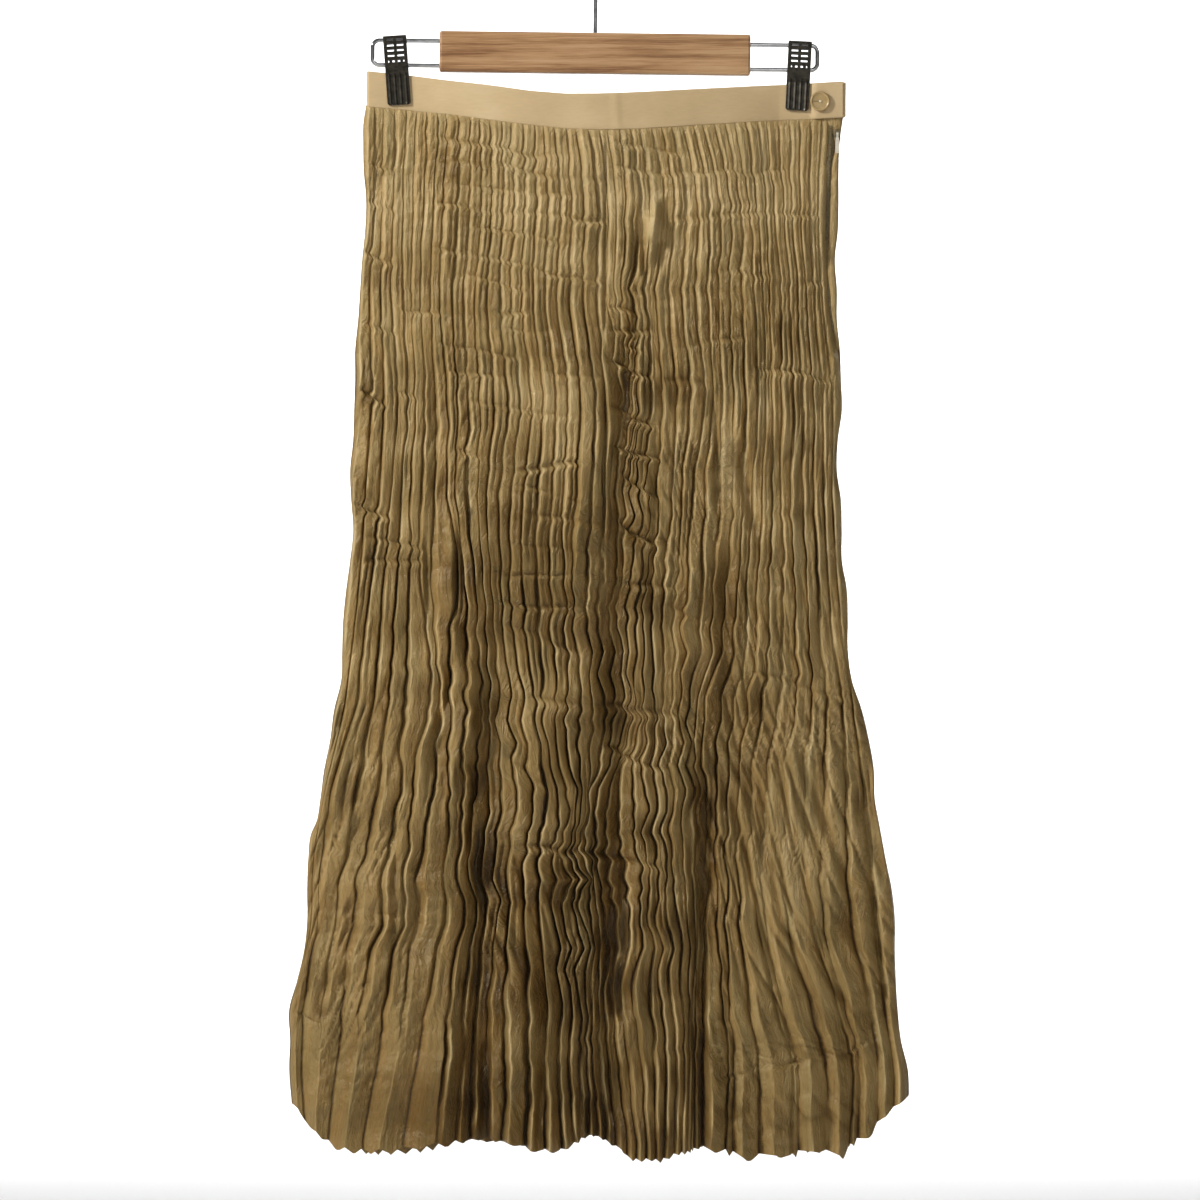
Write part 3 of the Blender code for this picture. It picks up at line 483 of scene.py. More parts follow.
BACK_ZONES = (
    (-60, 260, 9, 40, 0.3),
    (70, 420, 10, 40, 0.3),
    (-20, 400, 16, 100, 1.5),
    (-84, 730, 14, 110, 1.6),
    (90, 730, 12, 110, 1.6),
    (10, 640, 30, 90, 1.2),
    (-160, 640, 50, 140, 0.6),
    (160, 650, 50, 150, 0.55),
)

# Evenly lit places, where lit crests and shaded flats are faint: across, down, half width, half height
FRONT_CALM = (
    (160, 790, 68, 150),
    (-190, 720, 36, 110),
)
BACK_CALM = (
    (160, 760, 50, 140),
    (-180, 740, 40, 120),
)

# Crimp marks: from across, to across, down there, down there, half height, sideways, how much they pinch
FRONT_CRIMPS = (
    (-120, -20, 162, 176, 3.4, 1.2, 0.45),
    (-108, 4, 176, 192, 3.2, 1.2, 0.5),
    (-120, 4, 208, 222, 2.8, 1.5, 0.85),
    (-96, -30, 224, 236, 2.8, 1.1, 0.7),
    (-172, -150, 178, 184, 3, 1.4, 0.6),
    (-174, -150, 206, 216, 3.4, 1.6, 0.6),
    (-174, -152, 244, 252, 3.4, 1.6, 0.6),
    (-176, -150, 296, 306, 3.4, 1.6, 0.6),
    (-100, -50, 262, 280, 2.8, 1.2, 0.8),
    (-120, -60, 314, 326, 3, 1.4, 0.8),
    (-100, -20, 352, 366, 3.2, 1.1, 0.7),
    (-50, 4, 440, 452, 3.6, 0.9, 0.4),
    (-60, 0, 466, 470, 3, 0.8, 0.4),
    (-70, -10, 506, 512, 3, 0.9, 0.5),
    (16, 60, 180, 186, 3, 1.1, 0.6),
    (60, 168, 222, 214, 3, 0.9, 0.4),
    (90, 170, 262, 270, 3.4, 0.9, 0.4),
    (60, 110, 318, 308, 3.4, 1, 0.5),
    (120, 176, 330, 344, 3.6, 1.2, 0.5),
    (20, 60, 492, 500, 4, 1.8, 0.7),
    (-50, 60, 580, 590, 5, 1.8, 0.6),
    (-60, 50, 690, 706, 5, 2, 0.6),
    (120, 190, 560, 580, 4, 1.2, 0.5),
    (-118, 4, 243, 266, 2.6, 1.7, 0.95),
    (-146, -138, 272, 274, 2.4, 1.2, 0.6),
    (-144, -118, 288, 288, 2.4, 1, 0.6),
    (-74, -50, 291, 294, 2.4, 1.3, 0.6),
    (-72, -38, 303, 304, 2.2, 1, 0.6),
    (-112, -76, 333, 339, 3, 0.9, 0.45),
    (-72, -34, 342, 338, 3, 0.9, 0.4),
    (-30, 6, 336, 343, 3, 0.9, 0.45),
    (-176, -158, 347, 356, 3, 2.4, 0.9),
    (-150, -138, 350, 354, 3, 1.8, 0.8),
    (-58, -12, 407, 404, 2.6, 1.8, 0.8),
    (-60, -12, 418, 429, 2.2, 0.6, 0.5),
    (-104, -84, 395, 399, 4, 1.4, 0.6),
    (15, 44, 412, 434, 4, 2.8, 0.9),
    (18, 50, 452, 463, 5, 2.6, 0.9),
    (13, 40, 301, 306, 3.2, 2.2, 0.9),
    (13, 42, 332, 340, 3.4, 2.4, 0.9),
    (14, 44, 366, 376, 3.6, 2.6, 0.9),
    (15, 46, 392, 400, 3, 2.4, 0.9),
    (-64, -20, 487, 487, 1.8, 0.4, 0.6),
    (-70, -6, 526, 548, 5, 1.8, 0.7),
    (8, 50, 620, 634, 4, 2.4, 0.9),
    (-66, -20, 625, 660, 7, 1.6, 0.5),
    (16, 62, 164, 172, 3, 1, 0.8),
    (60, 150, 186, 180, 2.6, 0.7, 0.5),
    (-120, -20, 196, 206, 2.6, 0.7, 0.5),
    (8, 30, 286, 294, 3, 1.4, 0.8),
    (20, 34, 316, 320, 3, 1.4, 0.8),
    (48, 84, 342, 346, 6, 0.8, 0.5),
    (-178, -156, 435, 442, 3.4, 2.2, 0.85),
    (92, 106, 406, 408, 1.8, 0, 0.9),
    (55, 80, 512, 524, 4, 1.8, 0.6),
    (-165, -150, 741, 744, 2.4, 0.8, 0.7),
    (-224, -206, 816, 822, 2, 0.6, 0.8),
    (96, 112, 862, 858, 2.2, 1.2, 0.7),
    (116, 130, 856, 852, 2.2, 1.4, 0.8),
    (142, 158, 854, 848, 2.2, 1.4, 0.8),
    (166, 180, 850, 843, 2.2, 1.4, 0.8),
    (188, 202, 846, 836, 2.2, 1.4, 0.8),
    (-170, -130, 460, 466, 3, 1, 0.4),
    (-170, -130, 474, 480, 3, 1, 0.4),
)
BACK_CRIMPS = (
    (-110, -30, 262, 250, 4, 1.4, 0.45),
    (20, 90, 300, 318, 4, 1.2, 0.5),
    (-60, 20, 402, 410, 5, 1.5, 0.5),
    (80, 150, 380, 372, 4, 1.2, 0.5),
    (-30, 60, 540, 560, 7, 1.6, 0.6),
    (-90, -20, 640, 625, 8, 1.6, 0.5),
    (-200, -90, 848, 856, 4, 0.4, 0.4),
)

# Patches of fine creases: across, down, half width, half height, slant in degrees, spacing, length, depth
FRONT_CREASES = (
    (-200, 690, 36, 90, -20, 5, 80, 1.1),
    (-165, 640, 24, 80, -18, 4.6, 70, 0.9),
    (-190, 790, 36, 50, -28, 4.4, 40, 1),
    (-150, 790, 24, 45, -34, 4, 18, 0.6),
    (-185, 850, 34, 30, -60, 4, 12, 0.45),
    (135, 520, 44, 50, 10, 4, 50, 0.7),
    (150, 612, 40, 22, 44, 3.4, 14, 0.7),
    (186, 600, 24, 30, 30, 3.6, 20, 0.8),
    (124, 690, 44, 100, 14, 8, 190, 2),
    (176, 690, 44, 90, 22, 9, 170, 2),
    (150, 650, 50, 80, 12, 4, 90, 0.8),
    (196, 770, 34, 50, 30, 9, 120, 1.5),
    (150, 795, 50, 54, 27, 10, 150, 1.9),
    (128, 590, 30, 60, 16, 6, 90, 1.2),
    (110, 830, 30, 40, 18, 5, 60, 0.9),
    (160, 842, 50, 10, 74, 4, 16, 0.8),
    (140, 888, 60, 14, 30, 6, 24, 0.7),
    (-50, 745, 34, 56, 14, 4.4, 60, 1.1),
    (-5, 740, 22, 80, -8, 3.6, 60, 1),
    (50, 740, 26, 60, 6, 4, 60, 0.7),
    (65, 610, 18, 30, 26, 3.4, 24, 0.8),
    (60, 440, 30, 60, 12, 3.4, 30, 0.7),
    (100, 300, 60, 60, 6, 3.4, 36, 0.5),
    (150, 350, 40, 80, -5, 3.4, 40, 0.5),
    (-130, 180, 50, 34, -14, 3.2, 22, 0.5),
    (-172, 400, 14, 110, -10, 3.4, 30, 0.7),
    (-110, 380, 20, 60, -16, 3.4, 30, 0.6),
)
BACK_CREASES = (
    (-190, 700, 40, 120, -22, 4.5, 60, 0.9),
    (185, 700, 45, 120, 24, 4.5, 60, 0.9),
    (120, 560, 40, 30, 40, 3.6, 16, 0.6),
    (-60, 300, 120, 120, 6, 3.6, 40, 0.45),
    (60, 480, 80, 120, -8, 4, 50, 0.6),
)

# Painted light and shade on the satin, darker towards the hem, painted shade in deep folds and painted
# highlights where it catches the light: across, down, half width, half height, lighter or darker
FRONT_PAINTED_LIGHT = (
    (0, 180, 260, 60, 0.35),
    (0, 214, 230, 22, 0.2),
    (0, 950, 400, 150, -0.75),
    (-20, 880, 90, 90, -0.25),
    (-10, 660, 90, 150, -0.36),
    (-113, 640, 14, 140, -0.35),
    (86, 600, 10, 120, -0.5),
    (-60, 236, 66, 9, -0.45),
    (-60, 318, 66, 10, -0.4),
    (-60, 262, 60, 12, 0.3),
    (-60, 346, 60, 12, 0.25),
    (-185, 300, 14, 120, -0.3),
    (-30, 480, 120, 46, -0.35),
    (-140, 500, 30, 40, -0.3),
    (24, 320, 7, 110, -0.6),
    (41, 228, 7, 14, 0.6),
    (-118, 880, 26, 90, -0.3),
    (-113, 176, 11, 14, -0.7),
    (-108, 196, 9, 9, -0.4),
    (-60, 292, 60, 34, -0.25),
    (-110, 345, 16, 40, -0.3),
    (-38, 380, 60, 34, -0.05),
    (60, 345, 30, 14, -0.5),
    (-60, 500, 50, 30, -0.4),
    (100, 380, 18, 40, 0.3),
    (140, 420, 40, 60, 0.15),
    (95, 540, 14, 60, -0.35),
    (-125, 735, 20, 60, -0.25),
    (-84, 740, 13, 90, -0.6),
    (170, 620, 60, 160, 0.12),
    (10, 780, 10, 50, -0.4),
    (-125, 880, 80, 40, -0.5),
    (-195, 740, 50, 120, -0.14),
    (-110, 190, 70, 60, -0.15),
    (150, 760, 70, 110, 0.12),
)
BACK_PAINTED_LIGHT = (
    (0, 180, 260, 60, 0.35),
    (0, 950, 400, 150, -0.75),
    (10, 660, 90, 150, -0.4),
    (-84, 740, 14, 100, -0.5),
    (92, 740, 14, 100, -0.5),
    (40, 330, 70, 50, -0.2),
    (-50, 420, 60, 50, 0.2),
)

# Zip: down, the strip's inner edge across, its outer edge across, and where the satin beside it begins
ZIP_STRIP = (
    (141, 172, 180.5, 171),
    (149, 171, 180, 172.5),
    (154, 170.7, 179.8, 175.5),
    (160.3, 170.5, 179.5, 178),
    (182.8, 170, 177.6, 175.6),
    (205.3, 169, 176.6, 174.4),
    (227.8, 169, 175.6, 173.4),
    (250.3, 170, 175, 172.8),
    (280.3, 171, 177, 175),
    (317.8, 176, 181, 179.5),
)
# Tape: how far its middle stands out, how much less its edges do, and its unevenness
TAPE_BULGE = 1.6
TAPE_FLATTER = 1.2
TAPE_UNEVEN = 0.5
# Folded edge of satin beside it: thickness, rucks short and long, wrinkles, how far its start wanders, the
# shade painted along its edges where it curls back, and the light painted over it
LIP_THICKNESS = 2.1
LIP_SHORT_RUCKS = 0.35
LIP_LONG_RUCKS = 0.5
LIP_WRINKLES = 0.35
LIP_WANDER = 0.5
LIP_SHADE = 0.9
LIP_PAINTED_LIGHT = 0.2
# Teeth: size across, out and down, shift to each side by turns, and shares of inner and outer edge
TOOTH_SIZE = (1.9, 0.9, 0.75)
TOOTH_SHIFT = 0.35
TOOTH_SHARES = (0.45, 0.55)
TOOTH_OUT = 2.0
TOOTH_BEVEL = 0.12
TOOTH_PITCH = 1.5
TEETH_FROM = 150.0
TEETH_TO = 236.0
# The front's right edge follows the zip down to here, and the side seam once it has gone this much further
ZIP_EDGE_TO = 290.0
ZIP_EDGE_FADES = 50.0

# All that makes a panel's cloth: side is -1 for the front and 1 for the back
Panel = namedtuple(
    "Panel", "name side seed steps rows strips hem folds restless presses zones calm crimps creases tones"
)
FRONT = Panel(
    name="skirt_front_cloth", side=-1, seed=11, steps=FRONT_STEPS, rows=520, strips=FRONT_STRIPS,
    hem=FRONT_HEM, folds=FRONT_FOLDS, restless=FRONT_RESTLESS, presses=FRONT_PRESSES, zones=FRONT_ZONES,
    calm=FRONT_CALM, crimps=FRONT_CRIMPS, creases=FRONT_CREASES, tones=FRONT_PAINTED_LIGHT,
)
BACK = Panel(
    name="skirt_back_cloth", side=1, seed=211, steps=BACK_STEPS, rows=330, strips=1,
    hem=BACK_HEM, folds=BACK_FOLDS, restless=BACK_RESTLESS, presses=BACK_PRESSES, zones=BACK_ZONES,
    calm=BACK_CALM, crimps=BACK_CRIMPS, creases=BACK_CREASES, tones=BACK_PAINTED_LIGHT,
)

# Button: its middle as across, depth and down, its turned profile as radius and height, its thread, and the
# dark rod of painted shade for its slit
BUTTON_PLACE = (167.5, -4.75, 131.6)
BUTTON_PROFILE = (
    (0.0, 0.0), (6.6, 0.0), (7.3, 0.4), (7.5, 1.0), (7.4, 1.7), (7.0, 2.1), (6.5, 2.2),
    (6.1, 2.05), (5.8, 1.75), (5.2, 1.6), (2.0, 1.5), (0.0, 1.5),
)
THREAD_RADIUS = 0.5
THREAD_LENGTH = 2.0
THREAD_HEIGHT = 1.75
THREAD_TURNS = (0.5, -0.9)
SLIT_RADII = (0.32, 0.2)
SLIT_PLACE = (-4.0, 0.0, 1.6)
SLIT_LENGTH = 6.0

# Hanger
HANGER_TILT = math.radians(0.7)
BAR_LENGTH = 233.0
BAR_TOP_DOWN = 80.2
UPPER_WIRE_DOWN = 87.5
LOWER_WIRE_DOWN = 106.0
ARM_REACH = 168.4
ARM_CORNER = 5.0
WIRE_RADIUS = 1.6
WIRE_IN_BAR = 20.0
HOOK_WIRE_RADIUS = 1.5
CROOK_RADIUS = 20.0
STEM_IN_BAR = 16.0
NECK_RADIUS = 7.0
CROOK_TIP_ANGLE = math.radians(205)

# Stage, in metres
FLOOR_LEVEL = -1.25
FLOOR_FROM = -7.0
FLOOR_TO = 5.9
TURN_RADIUS = 0.6
WALL_TOP = 3.4
STAGE_HALF_WIDTH = 6.0

# Lamps: name, place and aim in metres, side of the square, and power in watts
LAMPS = (
    ("key", (-2.0, -1.2, 0.9), (0.0, 0.0, -0.45), 0.4, 66.0),
    ("fill", (0.5, -2.6, 0.9), (0.0, 0.0, -0.5), 1.4, 10.0),
    ("rim", (1.6, 2.0, 0.8), (0.0, 0.0, -0.5), 0.8, 26.0),
    ("wash_left", (-2.0, 4.7, 0.6), (-0.6, 6.5, -0.6), 1.0, 90.0),
    ("wash_right", (2.0, 4.7, 0.6), (0.6, 6.5, -0.6), 1.0, 90.0),
)
WORLD_LIGHT = 0.2
SENSOR_WIDTH = 36.0


def smooth_step(value):
    """0 below 0, 1 above 1, and a soft rise between."""
    held = np.clip(value, 0.0, 1.0)
    return held * held * (3 - 2 * held)


def column_of(table, place, column=1):
    """A column of a table, read at places in its first column."""
    rows = np.array(table)
    return np.interp(place, rows[:, 0], rows[:, column])


def curve_through(places, values, wanted):
    """Values on a smooth curve through a table's points, at wanted places."""
    places = np.asarray(places, float)
    values = np.asarray(values, float)
    slopes = np.gradient(values, places)
    last = len(places) - 2
    cell = np.clip(np.searchsorted(places, wanted) - 1, 0, last)
    span = places[cell + 1] - places[cell]
    share = np.clip((wanted - places[cell]) / span, 0.0, 1.0)
    squared = share * share
    cubed = squared * share
    return (
        (2 * cubed - 3 * squared + 1) * values[cell]
        + (cubed - 2 * squared + share) * span * slopes[cell]
        + (3 * squared - 2 * cubed) * values[cell + 1]
        + (cubed - squared) * span * slopes[cell + 1]
    )


def noise(seed, across, down, straight=False):
    """Seeded noise from -1 to 1 with cells one unit wide: smooth, or straight runs with kinks between."""
    size = 256
    table = np.random.default_rng(seed).uniform(-1.0, 1.0, (size, size))
    column = np.floor(across)
    row = np.floor(down)
    share_across = smooth_step(across - column)
    share_down = down - row if straight else smooth_step(down - row)
    column = column.astype(int) % size
    row = row.astype(int) % size
    next_column = (column + 1) % size
    next_row = (row + 1) % size
    top = table[row, column] * (1 - share_across) + table[row, next_column] * share_across
    foot = table[next_row, column] * (1 - share_across) + table[next_row, next_column] * share_across
    return top * (1 - share_down) + foot * share_down


def uneven(kind, seed, counted, down):
    """One kind of unevenness from pleat to pleat, as the table of them says."""
    added, per_pleat, drop, straight, amount = UNEVENNESS[kind]
    return amount * noise(seed + added, counted * per_pleat, down / drop, straight)


def rippled(kinds, seed, across, down):
    """The sum of some kinds of unevenness of the cloth itself."""
    total = np.zeros_like(across)
    for added, wide, high, amount in kinds:
        total = total + amount * noise(seed + added, across / wide, down / high)
    return total


def spot(across, down, place):
    """1 in the middle of a soft oval spot, and 0 far from it."""
    offset_across = (across - place[0]) / place[2]
    offset_down = (down - place[1]) / place[3]
    return np.exp(-(offset_across ** 2 + offset_down ** 2))


def pinched_depth(across):
    """Depth of the waist's hollow, as a share of its depth at the middle."""
    return np.maximum(0.0, 1.0 - (across / PINCHED_FROM) ** 2)


def body_depth(across, share_down, left, right):
    """Distance from the plane of the side seams out to a panel, without its folds."""
    full = column_of(BODY_DEPTH, share_down)
    off_middle = (across - (left + right) / 2) / ((right - left) / 2)
    rounded = np.maximum(0.0, 1.0 - off_middle ** 2) ** 0.7
    opened = smooth_step(share_down / PINCH_FADES_BY)
    return full * (pinched_depth(across) * (1 - opened) + rounded * opened)


def fold_depth(folds, across, share_down):
    """How far the broad folds press a panel in."""
    total = np.zeros_like(across)
    for first, start, last, end, half_width, depth in folds:
        along = (share_down - first) / (last - first)
        middle = start + (end - start) * along
        strength = smooth_step(along / 0.2) * smooth_step((1 - along) / 0.2)
        total += depth * strength * np.exp(-((across - middle) / half_width) ** 2)
    return total


def back_valleys(front):
    """Valleys of the back: the front's, drawn two thirds of the way to an even spacing."""
    downs = np.array(VALLEY_DOWNS)
    left = column_of(EDGES, downs, 1)
    right = column_of(EDGES, downs, 2)
    share = (front - front[0]) / (front[-1] - front[0])
    even = np.linspace(0.0, 1.0, PLEATS + 1)[:, None]
    crowd = BACK_CROWDING * np.sin(2 * np.pi * (even * 2.5 + 0.15)) * smooth_step((downs - 250.0) / 400.0)
    mixed = (1 - BACK_EVENNESS) * share + BACK_EVENNESS * even + crowd * even * (1 - even) * 4
    return left + (right - left) * mixed


def panel_grid(panel, valleys):
    """Pleats counted, place in the pleat, share of the length, drop, and the valleys beside each point."""
    pleat = np.append(np.repeat(np.arange(PLEATS), len(panel.steps)), PLEATS - 1)
    place = np.append(np.tile(panel.steps, PLEATS), 1.0)
    top_across = curve_place(valleys, pleat, place, 0)
    foot_across = curve_place(valleys, pleat, place, -1)
    top = column_of(WAISTBAND, top_across, 2) - TUCKED_UNDER_BAND
    ridge = 1 - np.abs(2 * place - 1)
    counted = pleat + place
    pointed = HEM_DIP + HEM_DIP_ADDED * smooth_step((np.abs(foot_across + 10.0) - 80.0) / 30.0)
    pointed = pointed * smooth_step((225.0 - np.abs(foot_across)) / 40.0)
    foot = column_of(panel.hem, foot_across) + pointed * (ridge - 0.45)
    foot = foot + uneven("hem", panel.seed, counted, counted * 0.0)
    share = np.linspace(0.0, 1.0, panel.rows)[:, None]
    down = top + (foot - top) * share
    left = np.zeros_like(down)
    right = np.zeros_like(down)
    for number in range(PLEATS):
        mine = pleat == number
        left[:, mine] = valley_line(panel, valleys, number, down[:, mine])
        right[:, mine] = valley_line(panel, valleys, number + 1, down[:, mine])
    return counted, place, share + np.zeros_like(down), down, left, right


def curve_place(valleys, pleat, place, column):
    """Place across of each of a row's points, from the table's first or last column."""
    return valleys[pleat, column] * (1 - place) + valleys[pleat + 1, column] * place


def valley_line(panel, valleys, number, down):
    """Where one valley runs across, at given drops, with its small wander."""
    edges = np.array(EDGES)
    if number == 0:
        return curve_through(edges[:, 0], edges[:, 1], down)
    smooth = curve_through(VALLEY_DOWNS, valleys[number], down)
    if number == PLEATS:
        seam = curve_through(edges[:, 0], edges[:, 2], down)
        if panel is BACK:
            return seam
        below_zip = smooth_step((down - ZIP_EDGE_TO) / ZIP_EDGE_FADES)
        return smooth * (1 - below_zip) + seam * below_zip
    free = min(number, PLEATS - number, HELD_PLEATS) / HELD_PLEATS
    amount = WANDER_AT_WAIST + WANDER_ADDED * smooth_step((down - 300.0) / 350.0)
    for place in panel.restless:
        amount = amount + place[4] * spot(smooth, down, place)
    amount = amount * (1 - WANDER_LOST * smooth_step((down - 800.0) / 60.0))
    together = uneven("wander together", panel.seed, number, down) * amount
    alone = uneven("wander alone", panel.seed, number, down) * (0.4 + 0.3 * amount)
    kinked = smooth_step(uneven("where valleys kink", panel.seed, number, down) + 0.4)
    kinks = uneven("valley kinks", panel.seed, number, down) * kinked * (0.6 + 0.25 * amount)
    return smooth + free * (together + alone + kinks)


def crimped(panel, across, down, counted):
    """Sideways shift, share left of the pleats' height, steps outward, and ticks of painted shade just
    below them, at the crimps.
    """
    shift = np.zeros_like(across)
    kept = np.ones_like(across)
    step = np.zeros_like(across)
    shade_ticks = np.zeros_like(across)
    for number, (start, end, from_down, to_down, half, sideways, pinch) in enumerate(panel.crimps):
        seed = panel.seed + number
        middle = from_down + (to_down - from_down) * np.clip((across - start) / (end - start), 0.0, 1.0)
        ragged = uneven("crimp rag", seed, counted, down) + uneven("crimp long rag", seed, counted, down)
        off = (down - middle - ragged) / half
        inside = smooth_step((across - start) / CRIMP_FADES + 0.5)
        inside = inside * smooth_step((end - across) / CRIMP_FADES + 0.5)
        strength = inside * (CRIMP_STRENGTH + uneven("crimp strength", seed, counted, down))
        bell = np.exp(-off ** 2)
        shift = shift + sideways * strength * CRIMP_SHIFT * off * bell
        kept = kept * (1 - pinch * strength * bell)
        step = step + CRIMP_STEP * pinch * strength * off * bell
        # A tick of painted shade just below each crimp
        shade_ticks = np.maximum(shade_ticks, pinch * strength * np.exp(-((off + TICK_AT) / TICK_WIDTH) ** 2))
    return shift, kept, step, shade_ticks


def creased(panel, across, down):
    """How deep the fine creases cut at each point, and the shade painted into their grooves there."""
    depth = np.zeros_like(across)
    dark = np.zeros_like(across)
    swirl = rippled(CREASE_SWIRL, panel.seed, across, down)
    for number, (at, at_down, wide, high, slant, spacing, length, amount) in enumerate(panel.creases):
        angle = math.radians(slant)
        aside = (across + swirl) * math.cos(angle) - down * math.sin(angle)
        along = across * math.sin(angle) + down * math.cos(angle)
        lines = noise(panel.seed + CREASE_SEED + number, aside / spacing, along / length)
        groove = 1 - smooth_step(np.abs(lines) * GROOVE_SHARPNESS)
        strength = np.minimum(PATCH_SPREAD * spot(across, down, (at, at_down, wide, high)), 1.0)
        depth = depth + GROOVE_DEPTH * amount * strength * (groove - RIPPLE_DEPTH * np.abs(lines))
        # Painted shade in each groove
        dark = np.maximum(dark, min(amount, 1.0) * strength * groove)
    return depth, dark


def pressed_in(presses, across, down):
    """How far the single creases press the cloth in."""
    total = np.zeros_like(across)
    for start, start_down, end, end_down, half_width, depth in presses:
        along = (down - start_down) / (end_down - start_down)
        middle = start + (end - start) * along
        strength = smooth_step(along / PRESS_FADES + 0.2) * smooth_step((1 - along) / PRESS_FADES + 0.2)
        total = total + PRESS_GAIN * depth * strength * np.exp(-((across - middle) / half_width) ** 2)
    return total


def facets(counted, place, width):
    """Heights of flat facets that rise and fall by turns, and how far up its facet each point is."""
    pleat = np.minimum(np.floor(counted), PLEATS - 1).astype(int)
    starts = np.searchsorted(pleat, np.arange(PLEATS))
    widths = width[:, starts]
    rising = pleat % 2 == 0
    partner = np.clip(np.where(rising, pleat + 1, pleat - 1), 0, PLEATS - 1)
    pair = (widths[:, pleat] + widths[:, partner]) / 2
    tall = FACET_HEIGHT * np.tanh(FACET_SLOPE * pair / FACET_HEIGHT)
    up = np.where(rising, place, 1 - place)
    return tall * up, up


def pleat_lines(panel, grid, across, height, second, opened, up):
    """Painted shade in the valleys, painted highlights on the crests, painted shade on the flats, and
    painted shade and highlight on the facets' low and high edges where the pleats have opened.
    """
    counted, place, share, down, left, right = grid
    seed = panel.seed
    width = right - left
    number = np.minimum(np.floor(counted), PLEATS - 1)
    off_valley = np.minimum(place, 1 - place) * width
    patchy = np.clip(0.5 + uneven("dark valleys", seed, np.rint(counted), down), 0.05, 1.25)
    deep = np.clip(height / 4.0, 0.0, 1.5) * patchy * (0.62 + 0.5 * smooth_step((share - 0.15) / 0.6))
    valley = np.exp(-(off_valley / VALLEY_LINE) ** 2) * deep
    valley = valley + VALLEY_SHADE * np.exp(-(off_valley / VALLEY_SHADE_WIDTH) ** 2) * deep
    lit_crest = CREST_LIGHT_AT_WAIST + CREST_LIGHT_ADDED * share
    lit_crest = lit_crest * np.exp(-((place - CREST_STEP) * width / CREST_LINE) ** 2)
    lit_crest = lit_crest * np.clip(0.4 + uneven("lit crests", seed, number, down), 0.0, 1.0)
    shaded = smooth_step((place - CREST_STEP - 0.08) / 0.16) * (1 - smooth_step((place - 0.86) / 0.1))
    shaded = shaded * np.clip(0.45 + uneven("shaded flats", seed, number, down), 0.0, 1.1)
    shaded = FLAT_SHADE * shaded * np.clip(height / 2.4, 0.0, 1.0)
    for calm in panel.calm:
        quiet = 1 - CALMED * np.minimum(1.5 * spot(across, down, calm), 1.0)
        shaded = shaded * quiet
        lit_crest = lit_crest * quiet
    pleated = valley - lit_crest + shaded + SECOND_CREASE_SHADE * second * deep
    # Painted shade along a facet's low edge and a painted highlight along its high edge
    low_edge = 0.9 * np.exp(-(up * width / 0.8) ** 2) - 0.3 * np.exp(-((1 - up) * width / 0.6) ** 2)
    return pleated * (1 - opened) + low_edge * opened


